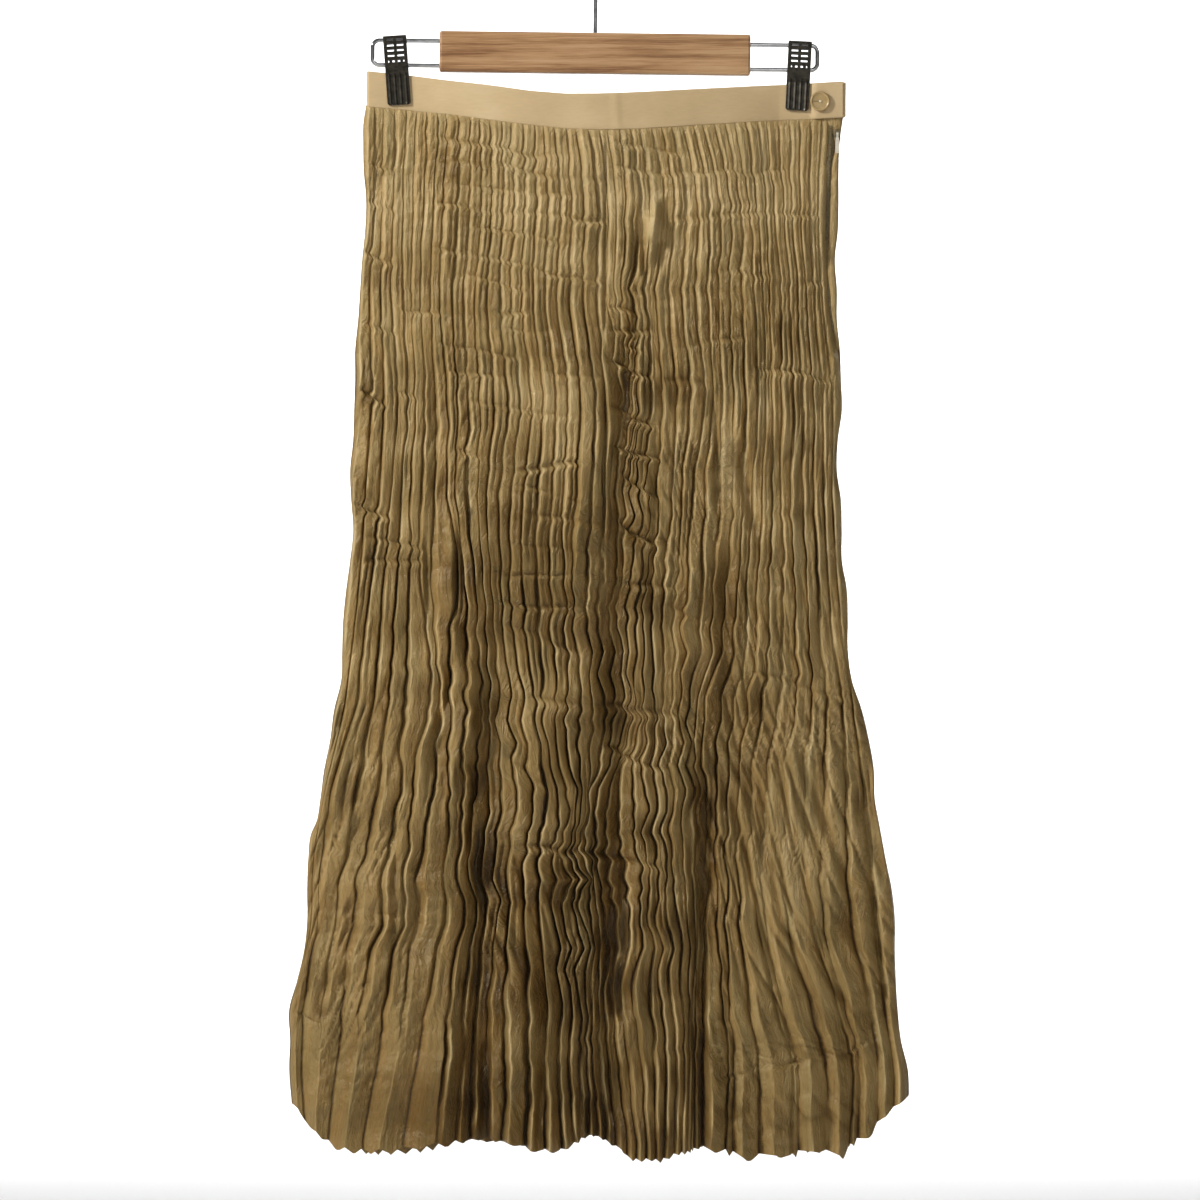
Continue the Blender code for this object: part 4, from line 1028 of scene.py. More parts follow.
def panel_points(panel, grid):
    """Across, outward distance and drop of a panel's points, in millimetres, and their painted shade, below
    nought where a highlight is painted.
    """
    counted, place, share, down, left, right = grid
    seed = panel.seed
    width = right - left
    edge_left = left[:, :1]
    edge_right = right[:, -1:]
    number = np.minimum(np.floor(counted), PLEATS - 1)
    crest = column_of(PLEAT_SHAPE, share, 2) + uneven("crest", seed, number, down)
    fall = column_of(PLEAT_SHAPE, share, 3) * (1 + uneven("fall", seed, number, down))
    lean = column_of(PLEAT_SHAPE, share, 4) * (USUAL_LEAN + uneven("lean", seed, number, down))
    rising = np.clip(place / CREST_STEP, 0.0, 1.0)
    falling = np.clip((place - CREST_STEP) / (1 - CREST_STEP), 0.0, 1.0)
    across = left + width * (crest * rising + (1 - crest) * falling)

    depth = 1 + uneven("depth", seed, number, down) + uneven("long depth", seed, number, down)
    for zone in panel.zones:
        depth = depth * (1 + (zone[4] - 1) * spot(across, down, zone))
    shift, kept, step, shade_ticks = crimped(panel, across, down, counted)
    height = width * column_of(PLEAT_SHAPE, share, 1) * depth * kept
    gathered = smooth_step((down - down[:1]) / RISES_IN)
    height = height * (HEIGHT_AT_WAIST + (1 - HEIGHT_AT_WAIST) * gathered)

    profile = rising * (1 - fall * falling) * (1 - smooth_step((falling - 0.88) / 0.12))
    second_at = SECOND_AT + uneven("second crease place", seed, number, down)
    second = uneven("second crease depth", seed, number, down) + 0.1
    second = np.clip(second + 0.8 * (1 - smooth_step((share - 0.1) / 0.35)), 0.0, 1.0)
    second = second * np.exp(-((place - second_at) / SECOND_WIDTH) ** 2)
    second = second * (1 - smooth_step((share - 0.82) / 0.1))
    profile = profile - SECOND_DEPTH * second
    begins = FACETS_FROM - uneven("facets begin", seed, number, down * 0.0)
    opened = smooth_step((share - begins) / (FACETS_BY - FACETS_FROM))
    opened = opened * smooth_step((OPENED_LEFT_OF - left) / OPENED_OVER)
    facet, up = facets(counted, place, width)
    raised = height * profile * (1 - opened) + facet * opened
    across = across + (left + width * place - across) * opened

    body = body_depth(across, share, edge_left, edge_right)
    pressed = fold_depth(panel.folds, across, share) + pressed_in(panel.presses, across, down)
    most = body * (1 - FOLD_KEEPS) + PRESSED_OF_HEIGHT * np.maximum(raised, 0.0)
    pressed = np.minimum(pressed, most)
    fine, painted_crease_shade = creased(panel, across, down)
    kinked = smooth_step(uneven("where cloth kinks", seed, number, down) + 0.3)
    crumple = rippled(CRUMPLES, seed, across, down)
    crumple = crumple + kinked * uneven("cloth kinks", seed, number + 0.75 * place, down)
    from_edge = np.minimum(across - edge_left, edge_right - across)
    to_seam = smooth_step(from_edge / JOINS_SEAM_IN)
    loose = (crumple + rippled(SWELLS, seed, across, down) + step - fine) * gathered
    out = HALF_SEAM + body - pressed + raised + (HALF_WALL + loose) * to_seam
    across = across + shift * to_seam - lean * (1 - opened) * raised * to_seam

    # Painted shade in valleys, fine creases, pressed folds and below the crimps, and painted highlights on
    # the crests
    dark = pleat_lines(panel, grid, across, height, second, opened, up)
    dark = dark + FINE_CREASE_SHADE * painted_crease_shade * gathered
    dark = dark + PRESSED_SHADE * np.maximum(pressed, 0.0) + TICK_SHADE * shade_ticks
    return across, np.maximum(out, HALF_SEAM), down, np.clip(dark, LIGHTEST, DARKEST)


def place_object(name, data, surface):
    """A named object with its surface, which rides on the root."""
    data.materials.append(surface)
    made = bpy.data.objects.new(name, data)
    bpy.context.scene.collection.objects.link(made)
    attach(made, "root")
    return made


def add_grid_object(name, points, surface, closed_across=False):
    """A smooth object from a grid of points, with rows and columns as its UV places in metres."""
    rows, columns, _ = points.shape
    flat = points.reshape(-1, 3)
    across_steps = np.linalg.norm(np.diff(points, axis=1), axis=2)
    down_steps = np.linalg.norm(np.diff(points, axis=0), axis=2)
    along = np.concatenate((np.zeros((rows, 1)), np.cumsum(across_steps, axis=1)), axis=1)
    along = along - along[:, columns // 2: columns // 2 + 1]
    lengths = np.concatenate((np.zeros((1, columns)), np.cumsum(down_steps, axis=0)), axis=0)
    index = np.arange(rows * columns).reshape(rows, columns)
    following = np.roll(index, -1, axis=1) if closed_across else index[:, 1:]
    start = index if closed_across else index[:, :-1]
    quads = np.stack((start[:-1], start[1:], following[1:], following[:-1]), axis=-1).reshape(-1, 4)
    mesh = bpy.data.meshes.new(name)
    mesh.from_pydata(flat.tolist(), [], quads.tolist())
    mesh.shade_smooth()
    layer = mesh.uv_layers.new(name="cloth")
    corners = np.zeros(len(mesh.loops), int)
    mesh.loops.foreach_get("vertex_index", corners)
    places = np.stack((along.reshape(-1), lengths.reshape(-1)), axis=-1)
    layer.data.foreach_set("uv", places[corners].reshape(-1))
    return place_object(name, mesh, surface)


def add_attribute(thing, name, values):
    """A number on each of a mesh's points, for its material."""
    attribute = thing.data.attributes.new(name, "FLOAT", "POINT")
    attribute.data.foreach_set("value", np.asarray(values, np.float32).reshape(-1))


def build_panel(panel, valleys, surface):
    """One pleated panel as thin cloth, its mesh in strips."""
    across, out, down, dark = panel_points(panel, panel_grid(panel, valleys))
    # Painted light and shade from the table of places, summed at each point
    tone = np.zeros_like(across)
    for place in panel.tones:
        tone = tone + place[4] * spot(across, down, place)
    points = np.stack((across, panel.side * out, -down), axis=-1) * MM
    made = []
    for strip in range(panel.strips):
        first = strip * PLEATS // panel.strips * len(panel.steps)
        last = (strip + 1) * PLEATS // panel.strips * len(panel.steps) + 1
        columns = slice(first, last)
        if panel.side > 0:
            columns = slice(last - 1, first - 1 if first else None, -1)
        name = panel.name if panel.strips == 1 else f"{panel.name}_{strip + 1}"
        cloth = add_grid_object(name, points[:, columns], surface)
        # The points' painted shade and highlights, and their painted light and shade, go to the satin's
        # colour
        add_attribute(cloth, "dark", dark[:, columns])
        add_attribute(cloth, "tone", tone[:, columns])
        made.append(cloth)
    return made


def band_path():
    """The waistband's middle line from above, in millimetres, with each point's top and bottom inset."""
    wall_to_wall = HALF_SEAM + BAND_WALL / 2
    layer_lift = BAND_WALL + CLEARANCE
    path = []
    for across in np.arange(BAND_END, BAND_LEFT_FOLD, -2.0):
        lift = layer_lift * smooth_step((across - OVERLAP_FROM) / (OVERLAP_TO - OVERLAP_FROM))
        depth = wall_to_wall + pinched_depth(across) * BODY_DEPTH[0][1] + lift
        path.append((across, -depth, 0.0))
    for step in range(FOLD_STEPS + 1):
        angle = -math.pi / 2 - math.pi * step / FOLD_STEPS
        turn = (math.cos(angle) * wall_to_wall, math.sin(angle) * wall_to_wall)
        path.append((BAND_LEFT_FOLD + turn[0], turn[1], 0.0))
    for across in np.arange(BAND_LEFT_FOLD + 2.0, BAND_RIGHT_FOLD, 3.0):
        path.append((across, wall_to_wall + pinched_depth(across) * BODY_DEPTH[0][1], 0.0))
    for step in range(FOLD_STEPS + 1):
        angle = math.pi / 2 - math.pi * step / FOLD_STEPS
        turn = (math.cos(angle) * wall_to_wall, math.sin(angle) * wall_to_wall)
        path.append((BAND_RIGHT_FOLD + turn[0], turn[1], UNDERLAP_INSET * step / FOLD_STEPS))
    for across in np.arange(BAND_RIGHT_FOLD - 2.0, UNDERLAP_END, -2.0):
        path.append((across, -wall_to_wall, UNDERLAP_INSET))
    return np.array(path)


def band_ring():
    """Points round the waistband's section: share of the height, and side of the wall from -1 to 1."""
    ring = []
    steps = 7
    flat_from = 0.035
    flat_share = 0.93
    for step in range(steps + 1):
        ring.append((flat_from + flat_share * step / steps, 1.0))
    ring += [(0.985, 0.8), (1.0, 0.0), (0.985, -0.8)]
    for step in range(steps, -1, -1):
        ring.append((flat_from + flat_share * step / steps, -1.0))
    ring += [(0.015, -0.8), (0.0, 0.0), (0.015, 0.8)]
    return np.array(ring)


def build_waistband(surface):
    """The waistband: one strip with soft edges, slight waves, and the crease that the photo shows."""
    path = band_path()
    ring = band_ring()
    along = np.gradient(path[:, :2], axis=0)
    along = along / np.linalg.norm(along, axis=1)[:, None]
    aside = np.stack((-along[:, 1], along[:, 0]), axis=-1)
    travelled = np.concatenate(([0.0], np.cumsum(np.linalg.norm(np.diff(path[:, :2], axis=0), axis=1))))
    top = column_of(WAISTBAND, path[:, 0], 1) + path[:, 2]
    bottom = column_of(WAISTBAND, path[:, 0], 2) - path[:, 2]
    share = ring[:, 0][None, :]
    down = top[:, None] + (bottom - top)[:, None] * share
    across = path[:, 0][:, None]
    seed, cell, cells, depth = BAND_SWELL
    wave = depth * noise(seed, travelled[:, None] / cell, share * cells)
    seed, cell, cells, depth = BAND_RIPPLE
    wave = wave + depth * noise(seed, travelled[:, None] / cell, share * cells) * share ** 3
    from_crease = (across - BAND_CREASE_AT - BAND_CREASE_LEAN * share) / BAND_CREASE_WIDTH
    crease = -BAND_CREASE_DEPTH * np.exp(-from_crease ** 2) * (path[:, 1][:, None] < 0)
    wave = (wave + crease) * smooth_step((travelled[:, None] + BAND_WAVES_BEFORE) / BAND_WAVES_OVER)
    offset = ring[:, 1][None, :] * BAND_WALL / 2 * 0.98 - wave
    x = path[:, 0][:, None] + aside[:, 0][:, None] * offset
    y = path[:, 1][:, None] + aside[:, 1][:, None] * offset
    points = np.stack((x, y, -down), axis=-1) * MM
    band = add_grid_object("waistband_cloth", points, surface, closed_across=True)
    close_ends(band, len(path), len(ring))
    return band


def close_ends(thing, rows, columns):
    """Close the two ends of a tube made from a grid, and turn its faces out."""
    mesh = bmesh.new()
    mesh.from_mesh(thing.data)
    mesh.verts.ensure_lookup_table()
    mesh.faces.new([mesh.verts[column] for column in range(columns)])
    mesh.faces.new([mesh.verts[(rows - 1) * columns + column] for column in range(columns)])
    bmesh.ops.recalc_face_normals(mesh, faces=mesh.faces)
    mesh.to_mesh(thing.data)
    mesh.free()
    thing.data.shade_smooth()
    thing.data.set_sharp_from_angle(angle=math.radians(50))


class Look:
    """A Principled surface in the making, with its constants on the shader's own sockets."""

    def __init__(self, name, colour, roughness, metallic=0.0, **constants):
        self.material = bpy.data.materials.new(name)
        self.material.use_nodes = True
        self.nodes = self.material.node_tree.nodes
        self.links = self.material.node_tree.links
        self.shader = self.nodes["Principled BSDF"]
        self.give(Base_Color=(*colour, 1.0), Roughness=roughness, Metallic=metallic, **constants)

    def feed(self, socket, value):
        """Set a socket to a constant, or link it to another node's output."""
        if isinstance(value, bpy.types.NodeSocket):
            self.links.new(value, socket)
        else:
            socket.default_value = value

    def give(self, **values):
        """Feed the shader's sockets, named with an underscore for each space."""
        for name, value in values.items():
            self.feed(self.shader.inputs[name.replace("_", " ")], value)

    def add(self, kind, inputs, **settings):
        """A node with some of its inputs and its own settings."""
        made = self.nodes.new(kind)
        for name, value in settings.items():
            setattr(made, name, value)
        for socket, value in inputs.items():
            self.feed(made.inputs[socket], value)
        return made

    def places(self):
        """Places on the object, in metres."""
        return self.add("ShaderNodeTexCoord", {}).outputs["Object"]

    def cloth_places(self):
        """Places along and down the cloth, in metres."""
        return self.add("ShaderNodeUVMap", {}, uv_map="cloth").outputs[0]

    def point_value(self, name):
        """A number that the mesh carries on its points."""
        return self.add("ShaderNodeAttribute", {}, attribute_name=name).outputs["Fac"]

    def times(self, first, second):
        """The product of two sockets or numbers."""
        return self.add("ShaderNodeMath", {0: first, 1: second}, operation="MULTIPLY").outputs[0]

    def total(self, first, *others):
        """The sum of sockets and numbers."""
        for other in others:
            first = self.add("ShaderNodeMath", {0: first, 1: other}, operation="ADD").outputs[0]
        return first

    def ramp(self, factor, stops):
        """A colour ramp with its stops as place and colour."""
        made = self.add("ShaderNodeValToRGB", {0: factor})
        elements = made.color_ramp.elements
        while len(elements) < len(stops):
            elements.new(0.5)
        for element, (place, colour) in zip(elements, stops):
            element.position = place
            element.color = (*colour, 1.0)
        return made.outputs[0]

    def noise(self, source, stretch, detail, roughness=0.5, scale=1.0):
        """Noise whose cells are stretched along the axes of its source."""
        mapping = self.add("ShaderNodeMapping", {"Vector": source, "Scale": stretch})
        inputs = {"Vector": mapping.outputs[0], "Scale": scale, "Detail": detail, "Roughness": roughness}
        return self.add("ShaderNodeTexNoise", inputs).outputs[0]

    def bump(self, height, strength, distance, under=None):
        """A bump from a height, over another bump if there is one."""
        inputs = {"Height": height, "Strength": strength, "Distance": distance}
        if under is not None:
            inputs["Normal"] = under
        return self.add("ShaderNodeBump", inputs).outputs[0]

    def weave(self, source, threads):
        """The height of a plain weave, from two crossing waves."""
        inputs = {"Vector": source, "Scale": threads, "Distortion": 0.6, "Detail": 1.0}
        parts = []
        for axis in ("X", "Y"):
            wave = self.add("ShaderNodeTexWave", inputs, wave_type="BANDS", bands_direction=axis)
            parts.append(wave.outputs["Fac"])
        return self.times(*parts)


def satin_material():
    """Crinkled satin: painted highlights on the ridges and browner painted shade in the valleys, fine
    crinkles, soft highlights.
    """
    look = Look(
        "satin_look", (0.30, 0.215, 0.105), 0.4,
        Sheen_Weight=0.05, Sheen_Roughness=0.4, Specular_IOR_Level=0.55,
        Specular_Tint=(1.0, 0.86, 0.62, 1.0), Sheen_Tint=(1.0, 0.88, 0.66, 1.0),
    )
    cloth = look.cloth_places()
    clouds = look.noise(look.places(), (1.0, 1.0, 1.0), 3.0, scale=22.0)
    # Painted shade and highlights carried on the points, painted light and shade from the table of places,
    # then random streaks and clouds
    mix = look.total(
        look.times(look.point_value("dark"), -0.55),
        look.times(look.point_value("tone"), 0.28),
        look.times(look.noise(cloth, (420.0, 30.0, 1.0), 4.0), 0.22),
        look.times(clouds, 0.25),
        0.44,
    )
    # The ramps' dark ends colour the painted shade, their light ends the painted highlights
    warm = look.ramp(mix, (
        (0.0, (0.040, 0.017, 0.002)),
        (0.28, (0.138, 0.070, 0.012)),
        (0.60, (0.325, 0.204, 0.068)),
        (0.95, (0.540, 0.385, 0.175)),
    ))
    olive = look.ramp(mix, (
        (0.0, (0.032, 0.019, 0.003)),
        (0.28, (0.108, 0.073, 0.017)),
        (0.60, (0.268, 0.208, 0.084)),
        (0.95, (0.490, 0.388, 0.205)),
    ))
    hue = look.times(look.total(look.noise(cloth, (85.0, 9.0, 1.0), 2.0), -0.38), 1.6)
    # A colour Mix node's factor and two colours are its inputs 0, 6 and 7, and its colour is output 2
    blend = look.add("ShaderNodeMix", {}, data_type="RGBA", clamp_factor=True)
    for socket, value in ((0, hue), (6, warm), (7, olive)):
        look.feed(blend.inputs[socket], value)
    normal = look.bump(look.noise(cloth, (280.0, 46.0, 1.0), 5.0, 0.62), 0.8, 0.0028)
    normal = look.bump(look.noise(cloth, (120.0, 170.0, 1.0), 4.0, 0.6), 0.5, 0.0026, normal)
    normal = look.bump(look.weave(cloth, 900.0), 0.25, 0.00012, normal)
    rough = look.total(look.times(clouds, 0.22), 0.24)
    look.give(Base_Color=blend.outputs[2], Roughness=rough, Normal=normal)
    return look.material


def band_material():
    """The waistband's smooth matt cloth, with a fine weave and faint random mottling of colour."""
    look = Look(
        "band_look", (0.60, 0.44, 0.24), 0.62,
        Sheen_Weight=0.15, Sheen_Roughness=0.5, Specular_IOR_Level=0.3,
    )
    places = look.places()
    clouds = look.noise(places, (1.0, 1.0, 1.6), 4.0, scale=18.0)
    slubs = look.noise(places, (160.0, 160.0, 900.0), 3.0)
    colour = look.ramp(look.total(look.times(slubs, 0.35), clouds), (
        (0.35, (0.500, 0.355, 0.180)),
        (0.70, (0.595, 0.430, 0.228)),
        (0.95, (0.650, 0.485, 0.270)),
    ))
    normal = look.bump(clouds, 0.2, 0.001)
    normal = look.bump(look.weave(look.cloth_places(), 700.0), 0.4, 0.00015, normal)
    look.give(Base_Color=colour, Normal=normal)
    return look.material


def wood_material():
    """Light wood with fine lengthwise grain under a satin lacquer."""
    look = Look("wood_look", (0.45, 0.27, 0.13), 0.45, Coat_Weight=0.15, Coat_Roughness=0.3)
    places = look.places()
    grain = look.noise(places, (9.0, 220.0, 330.0), 6.0, 0.62)
    pores = look.noise(places, (60.0, 900.0, 1400.0), 3.0, 0.6)
    figure = look.noise(places, (7.0, 30.0, 42.0), 2.0)
    mix = look.total(look.times(grain, 0.55), look.times(figure, 0.35), look.times(pores, 0.18))
    colour = look.ramp(mix, (
        (0.42, (0.190, 0.078, 0.024)),
        (0.50, (0.340, 0.172, 0.066)),
        (0.57, (0.455, 0.255, 0.112)),
        (0.66, (0.530, 0.325, 0.160)),
    ))
    normal = look.bump(pores, 0.2, 0.0002, look.bump(grain, 0.25, 0.0004))
    look.give(Base_Color=colour, Roughness=look.total(look.times(grain, 0.25), 0.33), Normal=normal)
    return look.material


def worn_material(name, dark, light, metallic, low, high, scale, bump, **constants):
    """A surface with small patches of colour and roughness: metal, enamel or resin."""
    look = Look(name, dark, low, metallic, **constants)
    patches = look.noise(look.places(), (1.0, 1.0, 1.0), 5.0, 0.6, scale)
    look.give(
        Base_Color=look.ramp(patches, ((0.35, dark), (0.7, light))),
        Roughness=look.total(look.times(patches, high - low), low),
        Normal=look.bump(patches, bump, 0.0002),
    )
    return look.material


def tape_material():
    """Dark woven zip tape with ribs across it."""
    look = Look("tape_look", (0.17, 0.125, 0.060), 0.7, Sheen_Weight=0.2, Specular_IOR_Level=0.3)
    slubs = look.noise(look.places(), (500.0, 500.0, 1100.0), 4.0)
    colour = look.ramp(slubs, ((0.3, (0.090, 0.064, 0.026)), (0.75, (0.250, 0.190, 0.092))))
    look.give(Base_Color=colour, Normal=look.bump(slubs, 0.6, 0.0003))
    return look.material


def keep_node(frame, node, surface):
    """Give a CAD node that stays in view its finished surface."""
    thing = frame["nodes"][node]
    thing.data.materials.clear()
    thing.data.materials.append(surface)


def round_wire(name, points, radius, chrome, node):
    """A round wire along a list of points in metres, in place of a CAD node."""
    curve = bpy.data.curves.new(name, "CURVE")
    curve.dimensions = "3D"
    curve.bevel_depth = radius * MM
    curve.bevel_resolution = 5
    curve.use_fill_caps = True
    spline = curve.splines.new("POLY")
    spline.points.add(len(points) - 1)
    for knot, point in zip(spline.points, points):
        knot.co = (*point, 1.0)
    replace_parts(place_object(name, curve, chrome), node)


def arc(centre, radius, start, end, steps):
    """Points on an arc in the XZ plane, in millimetres, both ends included."""
    angles = np.linspace(start, end, steps + 1)
    return [(centre[0] + radius * math.cos(a), 0.0, centre[1] + radius * math.sin(a)) for a in angles]


def tilted(points):
    """Points in millimetres, turned with the hanger about the hook's crook, as metres."""
    turn = Matrix.Rotation(HANGER_TILT, 4, "Y")
    return [turn @ (Vector(point) * MM) for point in points]


def build_wires(chrome):
    """The hook and the two wire arms, rounder than the solids."""
    radius = CROOK_RADIUS + HOOK_WIRE_RADIUS
    neck_drop = math.sqrt((radius + NECK_RADIUS) ** 2 - NECK_RADIUS ** 2)
    meeting = math.atan2(neck_drop, -NECK_RADIUS)
    points = [(0.0, 0.0, -BAR_TOP_DOWN - STEM_IN_BAR), (0.0, 0.0, -BAR_TOP_DOWN)]
    points += arc((NECK_RADIUS, -CROOK_RADIUS - neck_drop), NECK_RADIUS, math.pi, meeting, 12)
    points += arc((0.0, -CROOK_RADIUS), radius, meeting - math.pi, CROOK_TIP_ANGLE, 60)[1:]
    round_wire("hook_wire", tilted(points), HOOK_WIRE_RADIUS, chrome, "hook")

    turn_across = ARM_REACH - WIRE_RADIUS - ARM_CORNER
    inside = BAR_LENGTH / 2 - WIRE_IN_BAR
    bend = arc((turn_across, -UPPER_WIRE_DOWN - ARM_CORNER), ARM_CORNER, math.pi / 2, 0.0, 12)
    bend += arc((turn_across, -LOWER_WIRE_DOWN + ARM_CORNER), ARM_CORNER, 0.0, -math.pi / 2, 12)
    for name, side in (("left", -1), ("right", 1)):
        points = [(side * inside, 0.0, -UPPER_WIRE_DOWN)]
        points += [(side * x, y, z) for x, y, z in bend]
        points.append((side * inside, 0.0, -LOWER_WIRE_DOWN))
        round_wire(f"arm_wire_{name}", tilted(points), WIRE_RADIUS, chrome, f"arm_{name}")


def add_mesh_object(name, mesh, surface, smooth_angle=40):
    """A named, shaded object from a bmesh."""
    bmesh.ops.recalc_face_normals(mesh, faces=mesh.faces)
    data = bpy.data.meshes.new(name)
    mesh.to_mesh(data)
    mesh.free()
    data.shade_smooth()
    data.set_sharp_from_angle(angle=math.radians(smooth_angle))
    return place_object(name, data, surface)


def build_button(resin, thread, tape):
    """A turned button with a raised rim, its crossed threads, and a dark rod of painted shade for the slit
    that runs out from them.
    """
    mesh = bmesh.new()
    knots = [mesh.verts.new((out * MM, 0.0, up * MM)) for out, up in BUTTON_PROFILE]
    edges = [mesh.edges.new(pair) for pair in zip(knots, knots[1:])]
    bmesh.ops.spin(
        mesh, geom=knots + edges, cent=(0, 0, 0), axis=(0, 0, 1),
        angle=2 * math.pi, steps=64, use_merge=True,
    )
    bmesh.ops.remove_doubles(mesh, verts=mesh.verts, dist=0.00001)
    place = Matrix.Translation((BUTTON_PLACE[0] * MM, BUTTON_PLACE[1] * MM, -BUTTON_PLACE[2] * MM))
    place = place @ Matrix.Rotation(math.pi / 2, 4, "X")
    mesh.transform(place)
    button = add_mesh_object("button_turned", mesh, resin, smooth_angle=60)
    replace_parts(button, "button")

    sewn = bmesh.new()
    for angle in THREAD_TURNS:
        turn = place @ Matrix.Rotation(angle, 4, "Z")
        turn = turn @ Matrix.Translation((0, 0, THREAD_HEIGHT * MM))
        across = turn @ Matrix.Rotation(math.pi / 2, 4, "Y")
        bmesh.ops.create_cone(
            sewn, cap_ends=True, segments=10,
            radius1=THREAD_RADIUS * MM, radius2=THREAD_RADIUS * MM, depth=THREAD_LENGTH * MM, matrix=across,
        )
    add_mesh_object("button_thread", sewn, thread)

    # A dark rod stands in for the shade in the buttonhole's slit
    slit = bmesh.new()
    turn = place @ Matrix.Translation(Vector(SLIT_PLACE) * MM) @ Matrix.Rotation(math.pi / 2, 4, "Y")
    bmesh.ops.create_cone(
        slit, cap_ends=True, segments=12,
        radius1=SLIT_RADII[0] * MM, radius2=SLIT_RADII[1] * MM, depth=SLIT_LENGTH * MM, matrix=turn,
    )
    add_mesh_object("button_slit", slit, tape)


def build_zip(tape, satin):
    """The strip of zip tape beside the side seam, its teeth, and the folded edge of satin."""
    rows = 110
    zip_downs, zip_inner, zip_outer, satin_begins = np.array(ZIP_STRIP).T
    downs = np.linspace(zip_downs[0], zip_downs[-1], rows)
    down_rows = downs[:, None]
    inner = curve_through(zip_downs, zip_inner, downs)
    outer = curve_through(zip_downs, zip_outer, downs)
    shares = np.linspace(0.0, 1.0, 9)
    across = inner[:, None] + (outer - inner)[:, None] * shares
    bulge = TAPE_BULGE - TAPE_FLATTER * np.abs(2 * shares - 1) ** 3
    bulge = bulge + TAPE_UNEVEN * noise(601, across / 3.0, down_rows / 7.0)
    points = np.stack((across, -bulge + across * 0, -down_rows + across * 0), axis=-1) * MM
    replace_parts(add_grid_object("zip_tape_cloth", points, tape), "zip_tape")

    edge = curve_through([row[0] for row in EDGES], [row[2] for row in EDGES], downs)
    turn = np.linspace(0.0, math.pi, 11)
    begins = curve_through(zip_downs, satin_begins, downs)
    begins = begins + LIP_WANDER * noise(605, downs / 7.0, downs * 0.0)
    reach = np.maximum(edge - begins, 1.0) / 2
    rucks = LIP_SHORT_RUCKS * noise(602, downs / 3.1, downs * 0.0)
    rucks = rucks + LIP_LONG_RUCKS * noise(603, downs / 11.0, downs * 0.0)
    wrinkles = LIP_WRINKLES * noise(604, turn[None, :] * 2.0, down_rows / 4.0)
    thick = LIP_THICKNESS + rucks[:, None] + wrinkles
    lip_across = (edge - reach)[:, None] - reach[:, None] * np.cos(turn)
    lip_out = HALF_SEAM + thick * np.sin(turn)
    lip_points = np.stack((lip_across, -lip_out, -down_rows + lip_across * 0), axis=-1) * MM
    lip = add_grid_object("zip_lip_cloth", lip_points, satin)
    # Painted shade along the lip's two edges where it curls back, and painted light over all of it
    add_attribute(lip, "dark", LIP_SHADE * (1 - np.sin(turn)[None, :]) ** 2 + down_rows * 0)
    add_attribute(lip, "tone", lip_across * 0 + LIP_PAINTED_LIGHT)

    teeth = bmesh.new()
    size = Matrix.Diagonal((*(side * MM for side in TOOTH_SIZE), 1.0))
    run = inner * TOOTH_SHARES[0] + outer * TOOTH_SHARES[1]
    for number, down in enumerate(np.arange(TEETH_FROM, TEETH_TO, TOOTH_PITCH / 2)):
        middle = float(np.interp(down, downs, run))
        shift = TOOTH_SHIFT if number % 2 else -TOOTH_SHIFT
        place = Matrix.Translation(Vector((middle + shift, -TOOTH_OUT, -down)) * MM)
        bmesh.ops.create_cube(teeth, size=1.0, matrix=place @ size)
    bmesh.ops.bevel(teeth, geom=teeth.edges[:], offset=TOOTH_BEVEL * MM, segments=1, affect="EDGES")
    add_mesh_object("zip_teeth", teeth, tape)
    return lip


def build_stage():
    """A pale seamless floor and backdrop."""
    turn_level = FLOOR_LEVEL + TURN_RADIUS
    profile = [(FLOOR_FROM, FLOOR_LEVEL), (FLOOR_TO, FLOOR_LEVEL)]
    for step in range(1, 13):
        angle = math.pi / 2 * step / 12
        level = turn_level - TURN_RADIUS * math.cos(angle)
        profile.append((FLOOR_TO + TURN_RADIUS * math.sin(angle), level))
    profile.append((FLOOR_TO + TURN_RADIUS, WALL_TOP))
    mesh = bmesh.new()
    rows = [[mesh.verts.new((x, y, z)) for x in (-STAGE_HALF_WIDTH, STAGE_HALF_WIDTH)] for y, z in profile]
    for row, following in zip(rows, rows[1:]):
        mesh.faces.new((row[0], row[1], following[1], following[0]))
    data = bpy.data.meshes.new("backdrop")
    mesh.to_mesh(data)
    mesh.free()
    data.shade_smooth()
    data.materials.append(Look("paper", (0.93, 0.93, 0.93), 0.9, Specular_IOR_Level=0.1).material)
    backdrop = bpy.data.objects.new("backdrop", data)
    bpy.context.scene.collection.objects.link(backdrop)


def area_light(name, place, aim, size, power):
    """A soft square light, turned to a point."""
    data = bpy.data.lights.new(name, "AREA")
    data.shape = "SQUARE"
    data.size = size
    data.energy = power
    light = bpy.data.objects.new(name, data)
    light.location = place
    light.rotation_euler = (Vector(aim) - Vector(place)).to_track_quat("-Z", "Y").to_euler()
    bpy.context.scene.collection.objects.link(light)


def build_light():
    """A key light from the upper left, a weak fill, a rim light from behind, and washes on the backdrop."""
    for lamp in LAMPS:
        area_light(*lamp)
    world = bpy.data.worlds.new("studio")
    world.use_nodes = True
    background = world.node_tree.nodes["Background"]
    background.inputs["Color"].default_value = (1.0, 1.0, 1.0, 1.0)
    background.inputs["Strength"].default_value = WORLD_LIGHT
    bpy.context.scene.world = world
    bpy.context.scene.view_settings.view_transform = "Standard"


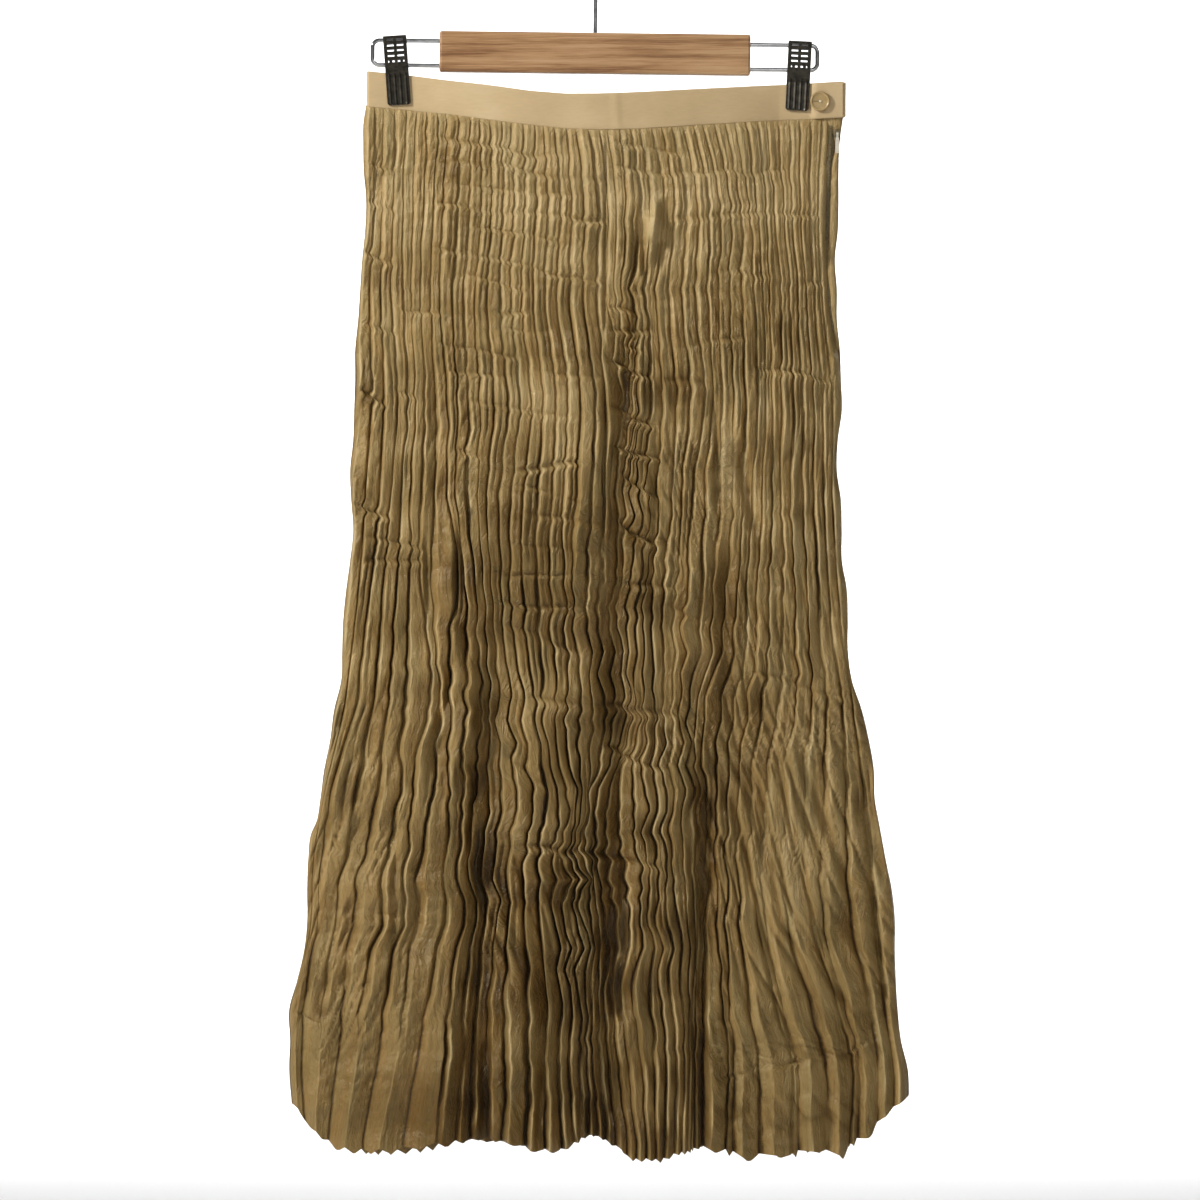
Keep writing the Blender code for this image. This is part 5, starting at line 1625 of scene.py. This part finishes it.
def build_camera():
    """A level camera in front of the skirt, with the photo's square frame."""
    data = bpy.data.cameras.new("camera")
    data.sensor_fit = "HORIZONTAL"
    data.sensor_width = SENSOR_WIDTH
    data.lens = SENSOR_WIDTH * abs(CAMERA_PLACE[1]) / FRAME_WIDTH
    camera = bpy.data.objects.new("camera", data)
    camera.location = CAMERA_PLACE
    camera.rotation_euler = (math.pi / 2, 0.0, 0.0)
    bpy.context.scene.collection.objects.link(camera)
    bpy.context.scene.camera = camera


def main():
    """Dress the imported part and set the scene."""
    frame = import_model()

    satin = satin_material()
    band_cloth = band_material()
    wood = wood_material()
    tape = tape_material()
    chrome = worn_material(
        "chrome_look", (0.40, 0.40, 0.40), (0.62, 0.62, 0.61), 1.0, 0.08, 0.18, 120.0, 0.05
    )
    steel = worn_material(
        "steel_look", (0.018, 0.015, 0.010), (0.060, 0.052, 0.036), 0.6, 0.26, 0.45, 260.0, 0.2
    )
    resin = worn_material(
        "resin_look", (0.36, 0.235, 0.085), (0.48, 0.335, 0.145), 0.0, 0.28, 0.42, 150.0, 0.05,
        Coat_Weight=0.2, Coat_Roughness=0.25,
    )
    enamel = worn_material(
        "enamel_look", (0.62, 0.55, 0.42), (0.80, 0.74, 0.60), 0.0, 0.25, 0.4, 300.0, 0.1,
        Coat_Weight=0.4, Coat_Roughness=0.2,
    )
    brass = worn_material(
        "slider_look", (0.150, 0.115, 0.060), (0.330, 0.270, 0.160), 0.8, 0.30, 0.5, 400.0, 0.15
    )
    thread = worn_material(
        "thread_look", (0.62, 0.50, 0.30), (0.85, 0.76, 0.58), 0.0, 0.6, 0.8, 900.0, 0.6, Sheen_Weight=0.3
    )

    valleys = np.array(VALLEYS, float)
    for number, front in enumerate(build_panel(FRONT, valleys, satin)):
        half = "left" if number < FRONT_STRIPS / 2 else "right"
        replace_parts(front, f"skirt_front_{half}")
    back, = build_panel(BACK, back_valleys(valleys), satin)
    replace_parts(back, "skirt_back_left", "skirt_back_right")
    lip = build_zip(tape, satin)
    band = build_waistband(band_cloth)
    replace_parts(band, "waistband_front", "waistband_back")
    build_button(resin, thread, tape)
    build_wires(chrome)
    keep_node(frame, "hanger_bar", wood)
    keep_node(frame, "zip_slider", brass)
    keep_node(frame, "zip_pull", enamel)
    for side in ("left", "right"):
        for part in ("front", "back", "core"):
            keep_node(frame, f"clip_{side}_{part}", steel)

    build_stage()
    build_light()
    build_camera()


main()
